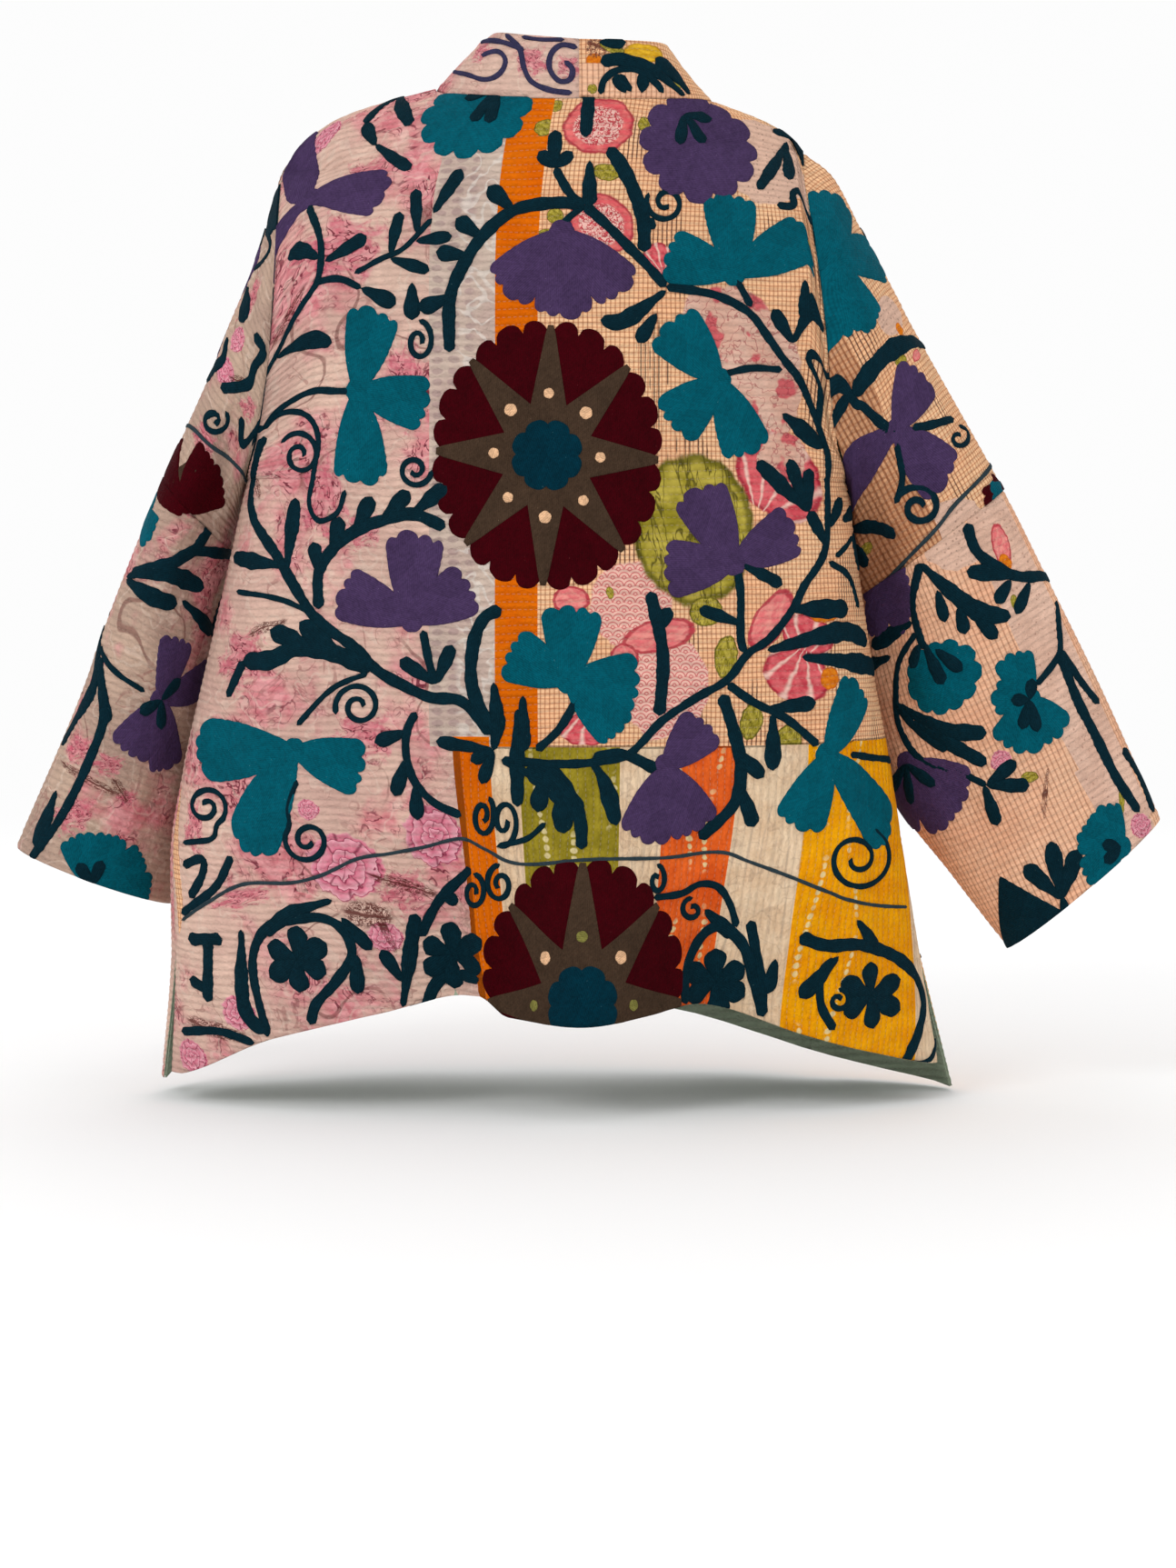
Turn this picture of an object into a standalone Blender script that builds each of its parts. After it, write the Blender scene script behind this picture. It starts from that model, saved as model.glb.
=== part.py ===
"""Open-fronted quilted jacket in its worn shape, hollow, with no wearer.

Metres, +Z up. The back faces -Y and the wearer's left is at -X. The origin lies on the
shoulder line: y = 0 runs through both shoulder seams and z = 0 is at the back of the neck.

Each piece of cloth is a grid of points on its outer face and a direction through the wall
at each point. Pieces that are sewn together share both along their seam.
"""

import bmesh
import bpy
import numpy as np

for old in list(bpy.data.objects):
    bpy.data.objects.remove(old, do_unlink=True)

# Cloth
WALL = 0.0020  # three quilted layers of cotton
LINING = 0.0010
SEAM_GAP = 0.0003
MICRON = 1e-6
SHARP_ANGLE = 50  # degrees, edges sharper than this are shaded so
LINING_TUCK = 0.0008  # by which the lining stops short of the armhole seam
MITRE_LIMIT = 1.6  # longest way through the wall at a seam, in walls

# Grid of each piece
NECK_COLUMNS = 16
SHOULDER_COLUMNS = 12
SLIT_ROWS = 3
SIDE_ROWS = 13  # hem to armpit, the slit's rows included
ARMHOLE_ROWS = 15
SLEEVE_RINGS = {"upper": 10, "lower": 8}
BAND_COLUMNS = 3

TOWARDS = {"left": -1, "right": 1}  # which way along X each side lies
BACK_COLUMNS = NECK_COLUMNS + 2 * SHOULDER_COLUMNS
ROWS = SIDE_ROWS + ARMHOLE_ROWS
NECK_SHARE = NECK_COLUMNS / BACK_COLUMNS
SIDE_SHARE = SIDE_ROWS / ROWS
SLIT_SHARE = SLIT_ROWS / ROWS
ROW_CROWDING = 1.6  # above the armpit, rows crowd towards the shoulder
COLUMN_EVENNESS = 0.7  # 1 spaces the columns by angle, less evens out their widths

# Body
ARMPIT_Z = -0.286
SLIT_TOP_Z = -0.652
SLIT_SPREAD = {"left": 0.010, "right": 0.011}  # the front's slit edge stands out past the seam
SLIT_DEPTH = {"back": 0.008, "front": 0.030}  # by which each face bulges at the slit's foot
SLIT_HOLD = {"back": 8, "front": 6}  # the higher, the closer the bulge keeps to the side
FOLD_HOLD = 8  # the higher, the closer the folds run to the side before they die out
FRONT_EDGE_HOLD = 0.3  # share of the front's width over which its folds grow from the edge
SHOULDER_ROUNDING = 0.115  # height over which a face turns level at the shoulder
NECK_ROUNDING = 0.070
NECK_BEND = 1.5  # the higher, the sooner the back comes out to its depth under the neck
YOKE_HEIGHT = 0.140  # height over which columns shift to the shoulder's spacing
SQUARENESS = 0.9  # of the body's section, 1 is an ellipse
YOKE_FLATNESS = 2.4  # power of the section above the armpits, the higher the flatter
YOKE_BLEND = 0.16  # height over which the rounded body turns into the yoke
ARMHOLE_DEPTH = {"back": 0.064, "front": 0.058}
ARMHOLE_BEND = 2.4  # power of the armhole's outline from the side
ARMHOLE_FULLNESS = 0.55
ARMPIT_HOLD = 6  # the higher, the closer the armhole's depth keeps to the armpit below the yoke
FRONT_EDGE_X = 0.060
NECK_DROP = 0.22  # height over which the front edge runs in from the neck
BACK_NECK = {"x": 0.013, "y": -0.075, "z": 0.002}


def table(columns, *rows):
    """A short table, one array for each named column."""
    return {name: np.array(values, float) for name, values in zip(columns.split(), zip(*rows))}


# Half-width of the body on each side, the angle in degrees from the centre back to the side
# seam, and the depth of the back and of the front
BODY = table(
    "z      left    right   seam_left  seam_right  back   front",
    (-0.76, 0.3060, 0.2950, 80, 86, 0.118, 0.132),
    (-0.66, 0.3030, 0.2780, 80, 88, 0.116, 0.131),
    (-0.58, 0.3040, 0.2650, 82, 88, 0.115, 0.129),
    (-0.51, 0.2940, 0.2545, 85, 90, 0.113, 0.127),
    (-0.43, 0.2765, 0.2405, 88, 90, 0.111, 0.124),
    (-0.36, 0.2605, 0.2300, 90, 90, 0.109, 0.121),
    (ARMPIT_Z, 0.2440, 0.2190, 90, 90, 0.107, 0.117),
    (-0.24, 0.2300, 0.2060, 90, 90, 0.106, 0.114),
    (-0.18, 0.2215, 0.2010, 90, 90, 0.104, 0.110),
    (-0.10, 0.2180, 0.1935, 90, 90, 0.101, 0.105),
    (-0.02, 0.2180, 0.1860, 90, 90, 0.098, 0.100),
    (0.05, 0.2180, 0.1860, 90, 90, 0.098, 0.100),
)

# Side of the neck and tip of the shoulder, both on y = 0. The seam drops as a mix of a
# straight line and a curve that falls near the tip, and bend is the curve's share.
SHOULDER = {
    "left": {"neck_x": -0.098, "neck_z": 0.017, "tip_x": -0.2185, "tip_z": -0.0480, "bend": 0.52},
    "right": {"neck_x": 0.117, "neck_z": 0.007, "tip_x": 0.1860, "tip_z": -0.0310, "bend": 0.35},
}

HEM = {
    "back": table(
        "x      z",
        (-0.303, -0.7400),
        (-0.240, -0.7080),
        (-0.148, -0.6860),
        (-0.070, -0.6730),
        (-0.045, -0.6880),
        (0.015, -0.6900),
        (0.070, -0.6850),
        (0.104, -0.6800),
        (0.190, -0.7030),
        (0.260, -0.7240),
        (0.297, -0.7350),
    ),
    "front": table(
        "x      z",
        (-0.303, -0.7500),
        (-0.220, -0.7230),
        (-0.060, -0.6990),
        (0.060, -0.7060),
        (0.160, -0.7300),
        (0.240, -0.7500),
        (0.297, -0.7580),
    ),
}

# Folds down to the hem: where the crest is, how far its flanks reach, how far it stands
# out at the hem and the height where it ends
FOLDS = {
    "back": table(
        "x       to_left  to_right  height   top",
        (0.015, 0.066, 0.086, 0.046, -0.40),
        (-0.082, 0.060, 0.022, -0.020, -0.45),
        (0.112, 0.028, 0.070, -0.014, -0.47),
        (-0.185, 0.060, 0.055, 0.010, -0.38),
        (0.205, 0.055, 0.050, 0.009, -0.40),
    ),
    "front": table(
        "x       to_left  to_right  height   top",
        (-0.130, 0.070, 0.060, 0.016, -0.36),
        (-0.215, 0.035, 0.040, -0.008, -0.45),
        (0.120, 0.050, 0.075, 0.014, -0.38),
        (0.205, 0.045, 0.035, -0.008, -0.44),
    ),
}

# Each sleeve runs along an outer and an inner rail, from the armhole to the cuff, and
# half_depth is half its size from back to front
SLEEVE_SEAM = 0.45  # share of the way where the upper part ends
SLEEVES = {
    "left": table(
        "way   outer_x  outer_y  outer_z  inner_x  inner_y  inner_z  half_depth",
        (0.00, -0.2185, 0.000, -0.0480, -0.2440, 0.000, -0.2860, 0.060),
        (0.12, -0.2330, 0.002, -0.0990, -0.2530, 0.014, -0.3000, 0.066),
        (0.28, -0.2640, 0.005, -0.1820, -0.2560, 0.036, -0.3180, 0.070),
        (SLEEVE_SEAM, -0.3095, 0.010, -0.2840, -0.2580, 0.056, -0.3420, 0.070),
        (0.63, -0.3410, 0.018, -0.3580, -0.2710, 0.068, -0.4150, 0.066),
        (0.82, -0.3830, 0.025, -0.4670, -0.2880, 0.070, -0.5200, 0.061),
        (1.00, -0.4280, 0.032, -0.5720, -0.3080, 0.064, -0.6200, 0.056),
    ),
    "right": table(
        "way   outer_x  outer_y  outer_z  inner_x  inner_y  inner_z  half_depth",
        (0.00, 0.1860, 0.000, -0.0310, 0.2190, 0.000, -0.2860, 0.060),
        (0.05, 0.2080, 0.000, -0.0490, 0.2215, 0.006, -0.2930, 0.062),
        (0.12, 0.2330, 0.002, -0.0930, 0.2250, 0.014, -0.3040, 0.064),
        (0.28, 0.2800, 0.006, -0.1816, 0.2255, 0.040, -0.3400, 0.066),
        (SLEEVE_SEAM, 0.3430, 0.015, -0.2929, 0.2290, 0.058, -0.3800, 0.063),
        (0.63, 0.3830, 0.020, -0.3720, 0.2400, 0.062, -0.4620, 0.057),
        (0.78, 0.4180, 0.024, -0.4420, 0.2590, 0.050, -0.5330, 0.051),
        (0.89, 0.4440, 0.027, -0.4980, 0.3050, 0.042, -0.5960, 0.046),
        (1.00, 0.4680, 0.030, -0.5500, 0.3482, 0.035, -0.6520, 0.043),
    ),
}

# Creases along a sleeve: turn is 0 on the outer rail and 0.5 on the inner one, and passes
# the back in between
SLEEVE_FOLDS = {
    "left": table(
        "turn  half_turn  start  end   height",
        (0.30, 0.09, 0.05, 0.75, -0.007),
        (0.70, 0.10, 0.10, 0.80, -0.008),
    ),
    "right": table(
        "turn  half_turn  start  end   height",
        (0.38, 0.08, 0.04, 0.90, -0.010),
        (0.27, 0.07, 0.10, 0.70, 0.006),
        (0.72, 0.10, 0.10, 0.80, -0.008),
    ),
}
SLEEVE_BLEND = 0.30  # share of the way over which the armhole's outline becomes an ellipse

# Band: its lean from upright and its width, from the centre back (0) to the side of the neck (1)
BAND = {
    "left": table(
        "way  lean  width",
        (0.00, 12, 0.047),
        (0.45, 18, 0.053),
        (0.75, 33, 0.057),
        (1.00, 43, 0.053),
    ),
    "right": table(
        "way  lean  width",
        (0.00, 12, 0.047),
        (0.45, 16, 0.047),
        (0.75, 32, 0.050),
        (1.00, 45, 0.052),
    ),
}
FRONT_BAND_WIDTH = 0.046
BAND_SETTLE = 0.13  # distance down the front edge over which the band lies down on the chest

COLOURS = {
    "back": (0.62, 0.40, 0.32),
    "front": (0.60, 0.42, 0.35),
    "sleeve_upper": (0.55, 0.38, 0.33),
    "sleeve_lower": (0.58, 0.42, 0.36),
    "band": (0.60, 0.36, 0.30),
    "lining_front": (0.21, 0.27, 0.22),
}


def smooth(keys, values, at):
    """A curve through a table's points that never overshoots them."""
    widths = np.diff(keys)
    rises = np.diff(values) / widths
    slopes = np.zeros(len(keys))
    turning = rises[1:] * rises[:-1] <= 0
    total = np.where(turning, 1, rises[1:] + rises[:-1])
    slopes[1:-1] = np.where(turning, 0, 2 * rises[1:] * rises[:-1] / total)
    slopes[0], slopes[-1] = rises[0], rises[-1]
    spot = np.clip(np.searchsorted(keys, at) - 1, 0, len(widths) - 1)
    u = np.clip((at - keys[spot]) / widths[spot], 0, 1)
    start = (1 + 2 * u) * (1 - u) ** 2 * values[spot] + u * (1 - u) ** 2 * widths[spot] * slopes[spot]
    end = u * u * (3 - 2 * u) * values[spot + 1] - u * u * (1 - u) * widths[spot] * slopes[spot + 1]
    return start + end


def step(start, end, at):
    """0 before start, 1 after end, easing in between."""
    u = np.clip((at - start) / (end - start), 0, 1)
    return u * u * (3 - 2 * u)


def mix(first, second, share):
    return first + (second - first) * share


def unit(vectors):
    return vectors / np.linalg.norm(vectors, axis=-1, keepdims=True)


def body(column, z):
    return smooth(BODY["z"], BODY[column], z)


def angle_share(share):
    return COLUMN_EVENNESS * share + (1 - COLUMN_EVENNESS) * share**3


def row_height(rows, hem, side_hem, top):
    """Heights of the rows of points above a hem that isn't level."""
    slit_top = SLIT_TOP_Z + (hem - side_hem) * (ARMPIT_Z - SLIT_TOP_Z) / (ARMPIT_Z - side_hem)
    in_slit = mix(hem, slit_top, rows / SLIT_SHARE)
    below = mix(slit_top, ARMPIT_Z, (rows - SLIT_SHARE) / (SIDE_SHARE - SLIT_SHARE))
    left = np.clip((1 - rows) / (1 - SIDE_SHARE), 0, 1)
    above = top - (top - ARMPIT_Z) * left**ROW_CROWDING
    return np.where(rows <= SLIT_SHARE, in_slit, np.where(rows <= SIDE_SHARE, below, above))


def armhole_depth(face, z, tip_z):
    """How far the armhole's edge stands from the shoulder line, none at the armpit and the tip."""
    share = np.clip((z - ARMPIT_Z) / (tip_z - ARMPIT_Z), 0, 1)
    return ARMHOLE_DEPTH[face] * (1 - np.abs(2 * share - 1) ** ARMHOLE_BEND) ** ARMHOLE_FULLNESS


def shoulder_top(side, way):
    """The shoulder seam, from the side of the neck (0) to the tip (1)."""
    ends = SHOULDER[side]
    x = mix(ends["neck_x"], ends["tip_x"], way)
    drop = (1 - ends["bend"]) * way + ends["bend"] * way**5
    return x, 0 * way, mix(ends["neck_z"], ends["tip_z"], drop)


def neck_top(side, way):
    """The back of the neckline, from the centre (0) to the side of the neck (1)."""
    turn = way * np.pi / 2
    x = mix(BACK_NECK["x"], SHOULDER[side]["neck_x"], np.sin(turn))
    z = mix(BACK_NECK["z"], SHOULDER[side]["neck_z"], way**2)
    return x, BACK_NECK["y"] * np.cos(turn), z


def rounding(drop, neck):
    """How far a face has come out to its full depth, this far below its top edge."""
    shoulder = np.sqrt(1 - (1 - np.clip(drop / SHOULDER_ROUNDING, 0, 1)) ** 2)
    collar = 1 - (1 - np.clip(drop / NECK_ROUNDING, 0, 1)) ** NECK_BEND
    return mix(shoulder, collar, neck)


def fold_height(face, x, z, hem):
    """How far the folds of one face stand out at a point."""
    total = 0 * x
    for place, to_left, to_right, height, top in zip(*FOLDS[face].values()):
        reach = np.where(x < place, to_left, to_right)
        crest = np.cos(np.clip((x - place) / reach, -1, 1) * np.pi / 2) ** 2
        total = total + height * crest * step(top, hem, z)
    return total


def slit_share(face, rows, across):
    """1 at the foot of the side slit, fading to 0 up the slit and away from the side."""
    return np.clip(1 - rows / SLIT_SHARE, 0, 1) * across ** SLIT_HOLD[face]


def neck_columns(side):
    """The back's columns along half of its neckline, from the centre."""
    return [BACK_COLUMNS // 2 + TOWARDS[side] * i for i in range(NECK_COLUMNS // 2 + 1)]


def back_side(side):
    """Half of the back panel, from its centre to one side. Rows run from hem to top."""
    columns = np.linspace(0, 1, BACK_COLUMNS // 2 + 1)
    across, rows = np.meshgrid(columns, np.linspace(0, 1, ROWS + 1))
    sign = TOWARDS[side]

    on_neck = across <= NECK_SHARE
    neck = neck_top(side, np.minimum(across / NECK_SHARE, 1))
    shoulder = shoulder_top(side, np.clip((across - NECK_SHARE) / (1 - NECK_SHARE), 0, 1))
    top_x, top_y, top_z = (np.where(on_neck, a, b) for a, b in zip(neck, shoulder))

    hem_x = sign * body(side, BODY["z"][0]) * np.sin(np.pi / 2 * angle_share(across))
    hem = smooth(HEM["back"]["x"], HEM["back"]["z"], hem_x)
    z = row_height(rows, hem, hem[:, -1:], top_z)
    yoke = step(ARMPIT_Z, ARMPIT_Z + YOKE_BLEND, z)

    turn = np.radians(body("seam_" + side, z)) * angle_share(across)
    reach = body(side, z)
    x = sign * reach * mix(np.sin(turn), across, yoke)
    crown = mix(np.abs(np.cos(turn)) ** SQUARENESS, 1 - across**YOKE_FLATNESS, yoke)
    edge = armhole_depth("back", z, SHOULDER[side]["tip_z"])
    depth = body("back", z) * crown + edge * (1 - crown) * mix(across**ARMPIT_HOLD, 1, yoke)
    depth = depth + fold_height("back", x, z, hem) * (1 - across**FOLD_HOLD)
    depth = depth + SLIT_DEPTH["back"] * slit_share("back", rows, across)

    drop = top_z - z
    x = mix(x, top_x, np.clip(1 - drop / YOKE_HEIGHT, 0, 1) ** 2)
    neckness = 1 - step(NECK_SHARE / 2, NECK_SHARE, across)
    y = mix(top_y, -depth, rounding(drop, neckness))
    return np.stack([x, y, z], axis=-1)


def back_grid():
    left = back_side("left")[:, ::-1]
    return np.concatenate([left, back_side("right")[:, 1:]], axis=1)


def front_grid(side):
    """A front panel, from its front edge to the side. Rows run from hem to shoulder."""
    columns = np.linspace(0, 1, SHOULDER_COLUMNS + 1)
    across, rows = np.meshgrid(columns, np.linspace(0, 1, ROWS + 1))
    sign = TOWARDS[side]
    top_x, top_y, top_z = shoulder_top(side, across)

    hem_reach = body(side, BODY["z"][0])
    hem_start = np.arcsin(FRONT_EDGE_X / hem_reach)
    hem_x = sign * hem_reach * np.sin(mix(hem_start, np.pi / 2, angle_share(across)))
    hem = smooth(HEM["front"]["x"], HEM["front"]["z"], hem_x)
    z = row_height(rows, hem, hem[:, -1:], top_z)
    drop = top_z - z
    yoke = step(ARMPIT_Z, ARMPIT_Z + YOKE_BLEND, z)

    reach = body(side, z)
    edge_x = mix(abs(SHOULDER[side]["neck_x"]), FRONT_EDGE_X, step(0, NECK_DROP, drop[:, :1]))
    start = np.arcsin(edge_x / reach)
    turn = mix(start, np.pi - np.radians(body("seam_" + side, z)), angle_share(across))
    level = mix(edge_x / reach, 1, across)
    x = sign * reach * mix(np.sin(turn), level, yoke)
    bend = np.sign(np.cos(turn)) * np.abs(np.cos(turn)) ** SQUARENESS
    crown = mix(bend, 1 - level**YOKE_FLATNESS, yoke)
    edge = armhole_depth("front", z, SHOULDER[side]["tip_z"])
    depth = np.where(crown >= 0, body("front", z), body("back", z)) * crown
    depth = depth + edge * (1 - crown) * mix(across**ARMPIT_HOLD, 1, yoke)
    folds = fold_height("front", x, z, hem) * (1 - across**FOLD_HOLD)
    slit = slit_share("front", rows, across)
    depth = depth + folds * step(0, FRONT_EDGE_HOLD, across) + SLIT_DEPTH["front"] * slit

    x = x + sign * SLIT_SPREAD[side] * slit
    x = mix(x, top_x, np.clip(1 - drop / YOKE_HEIGHT, 0, 1) ** 2)
    y = mix(top_y, depth, rounding(drop, 0))
    return np.stack([x, y, z], axis=-1)


def armhole_loop(back, front, side):
    """The armhole, from the shoulder tip down the back to the armpit and up the front."""
    back_edge = back[SIDE_ROWS:, 0 if side == "left" else -1][::-1]
    front_edge = front[SIDE_ROWS:, -1]
    return np.concatenate([back_edge, front_edge[1:-1]])


def sleeve_grid(side, loop):
    """Both parts of a sleeve as one grid of rings, each ring running as the armhole does."""
    rails = SLEEVES[side]
    ways = np.concatenate(
        [
            np.linspace(0, SLEEVE_SEAM, SLEEVE_RINGS["upper"] + 1),
            np.linspace(SLEEVE_SEAM, 1, SLEEVE_RINGS["lower"] + 1)[1:],
        ]
    )
    steps = np.linalg.norm(np.roll(loop, -1, axis=0) - loop, axis=1)
    along = np.concatenate([[0], np.cumsum(steps)])
    half = len(loop) // 2
    turns = np.where(
        np.arange(len(loop)) <= half,
        along[:-1] / along[half] / 2,
        0.5 + (along[:-1] - along[half]) / (along[-1] - along[half]) / 2,
    )
    angles = 2 * np.pi * turns
    rings = []
    leftover = 0
    for way in ways:
        outer, inner = (
            np.array([smooth(rails["way"], rails[f"{rail}_{axis}"], way) for axis in "xyz"])
            for rail in ("outer", "inner")
        )
        half_depth = smooth(rails["way"], rails["half_depth"], way)
        ring = outer + np.outer((1 - np.cos(angles)) / 2, inner - outer)
        ring[:, 1] -= np.sin(angles) * half_depth
        if way == 0:
            leftover = loop - ring
        ring = ring + leftover * (1 - step(0, SLEEVE_BLEND, way))
        outward = unit(ring - (outer + inner) / 2)
        for turn, half_turn, start, end, height in zip(*SLEEVE_FOLDS[side].values()):
            crest = np.cos(np.clip((turns - turn) / half_turn, -1, 1) * np.pi / 2) ** 2
            swell = np.sin(np.pi * np.clip((way - start) / (end - start), 0, 1)) ** 1.5
            ring = ring + outward * (height * crest * swell)[:, None]
        rings.append(ring)
    return np.array(rings)


def band_grid(side, back, front):
    """Half of the band, along the neck from the centre back and down the front edge."""
    sign = TOWARDS[side]
    neck = back[-1, neck_columns(side)]
    edge = front[::-1, 0][1:]
    base = np.concatenate([neck, edge])
    heading = unit(np.gradient(base, axis=0))
    heading[0] = (sign, 0, 0)
    away = unit(np.stack([sign * heading[:, 1], -sign * heading[:, 0], 0 * base[:, 2]], axis=-1))
    way = np.minimum(np.arange(len(base)) / (NECK_COLUMNS / 2), 1)
    lean = np.radians(smooth(BAND[side]["way"], BAND[side]["lean"], way))[:, None]
    standing = np.cos(lean) * np.array([0, 0, 1.0]) - np.sin(lean) * away
    chest = unit(front[::-1, 0] - front[::-1, 1])
    flat = np.concatenate([standing[: NECK_COLUMNS // 2], chest])
    past = np.cumsum(np.linalg.norm(np.diff(front[::-1, 0], axis=0), axis=1))
    lying = np.concatenate([np.zeros(NECK_COLUMNS // 2 + 1), step(0, BAND_SETTLE, past)])[:, None]
    cross = mix(standing, flat, lying)
    cross = unit(cross - heading * np.sum(cross * heading, axis=-1, keepdims=True))
    width = mix(smooth(BAND[side]["way"], BAND[side]["width"], way), FRONT_BAND_WIDTH, lying[:, 0])
    shares = np.linspace(0, 1, BAND_COLUMNS + 1)
    return base[:, None] + cross[:, None] * (width[:, None] * shares)[..., None]


def grid_normals(grid, outside, closed):
    """Unit normals of a grid, turned so that they point away from a point or line inside."""
    down = np.gradient(grid, axis=0)
    if closed:
        over = np.roll(grid, -1, axis=1) - np.roll(grid, 1, axis=1)
    else:
        over = np.gradient(grid, axis=1)
    normals = unit(np.cross(down, over))
    lean = np.sum(normals * outside, axis=-1)
    return normals if np.median(lean) > 0 else -normals


class Cloth:
    """One piece: its outer points, and the way through its wall at each of them."""

    def __init__(self, grid, outside, closed=False):
        self.grid = grid
        self.closed = closed
        self.through = grid_normals(grid, outside, closed)
        self.shift = np.zeros_like(grid)


def place(point):
    """A point rounded so that the pieces that share it find each other."""
    return tuple(np.round(point / MICRON).astype(int))


def edge(which, span, inward=0):
    """Index of the points along one edge of a grid, or of the line of points next to it."""
    line = inward if which in ("bottom", "first") else -1 - inward
    return (line, span) if which in ("bottom", "top") else (span, line)


def sew(pieces, seams, loops):
    """Gives pieces that meet the same way through the wall, and the gap between them.

    A seam lists the edges that meet there. In the armhole loops the way through the wall is
    square to the loop, because body and sleeve almost face each other at the armpit.
    """
    meeting = {}
    edges = [line for seam in seams for line in seam]
    for name, which, span in edges:
        index = edge(which, span)
        for point, normal in zip(pieces[name].grid[index], pieces[name].through[index]):
            meeting.setdefault(place(point), {})[name] = normal
    shared = {}
    for spot, normals in meeting.items():
        mean = unit(sum(normals.values()))
        facing = np.mean([np.dot(mean, normal) for normal in normals.values()])
        shared[spot] = mean / max(facing, 1 / MITRE_LIMIT)
    for loop in loops:
        along = np.roll(loop, -1, axis=0) - np.roll(loop, 1, axis=0)
        square = unit(np.cross(along, (1, 0, 0)))
        centre = (loop.min(axis=0) + loop.max(axis=0)) / 2
        square *= np.sign(np.sum(square * (loop - centre), axis=-1, keepdims=True))
        square[0] = (0, 0, 1)
        square[ARMHOLE_ROWS] = (0, 0, -1)
        for point, out in zip(loop, square):
            facing = np.mean([np.dot(out, normal) for normal in meeting[place(point)].values()])
            shared[place(point)] = out / max(facing, 1 / MITRE_LIMIT)
    for name, which, span in edges:
        piece = pieces[name]
        points = piece.grid[edge(which, span)]
        through = np.array([shared[place(point)] for point in points])
        if piece.closed:
            heading = np.roll(points, -1, axis=0) - np.roll(points, 1, axis=0)
        else:
            heading = np.gradient(points, axis=0)
        aside = unit(np.cross(heading, through))
        toward = piece.grid[edge(which, span, inward=1)] - points
        side = np.sign(np.sum(aside * toward, axis=-1, keepdims=True))
        piece.shift[edge(which, span)] += aside * side * SEAM_GAP / 2
    for name, piece in pieces.items():
        for index in np.ndindex(piece.grid.shape[:2]):
            spot = place(piece.grid[index])
            if spot in shared:
                piece.through[index] = shared[spot]
        piece.grid = piece.grid + piece.shift


def wall(name, cloth, near, far, kind):
    """A closed wall between two depths under the piece's outer face."""
    rows, columns = cloth.grid.shape[:2]
    layers = [cloth.grid - depth * cloth.through for depth in (near, far)]
    points = np.concatenate([layer.reshape(-1, 3) for layer in layers])
    last = columns if cloth.closed else columns - 1

    def at(layer, row, column):
        return layer * rows * columns + row * columns + column % columns

    faces = []

    def quad(*corners):
        """Two triangles, split the same way in every layer so that the layers stay parallel."""
        first, second, third, fourth = (at(*corner) for corner in corners)
        faces.extend([(first, second, third), (first, third, fourth)])

    for row in range(rows - 1):
        for column in range(last):
            for layer in (0, 1):
                near_row, far_row = (layer, row), (layer, row + 1)
                quad((*near_row, column), (*near_row, column + 1), (*far_row, column + 1), (*far_row, column))
    for column in range(last):
        for row in (0, rows - 1):
            quad((0, row, column), (0, row, column + 1), (1, row, column + 1), (1, row, column))
    if not cloth.closed:
        for row in range(rows - 1):
            for column in (0, columns - 1):
                quad((0, row, column), (0, row + 1, column), (1, row + 1, column), (1, row, column))

    mesh = bpy.data.meshes.new(name)
    mesh.from_pydata(points.tolist(), [], faces)
    shape = bmesh.new()
    shape.from_mesh(mesh)
    bmesh.ops.recalc_face_normals(shape, faces=shape.faces)
    shape.to_mesh(mesh)
    shape.free()
    mesh.shade_smooth()
    mesh.set_sharp_from_angle(angle=np.radians(SHARP_ANGLE))
    mesh.materials.append(cloth_material(kind))
    piece = bpy.data.objects.new(name, mesh)
    bpy.context.scene.collection.objects.link(piece)
    return piece


def cloth_material(kind):
    if kind in bpy.data.materials:
        return bpy.data.materials[kind]
    material = bpy.data.materials.new(kind)
    material.use_nodes = True
    shader = material.node_tree.nodes["Principled BSDF"]
    shader.inputs["Base Color"].default_value = (*COLOURS[kind], 1)
    shader.inputs["Roughness"].default_value = 0.9
    return material


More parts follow.
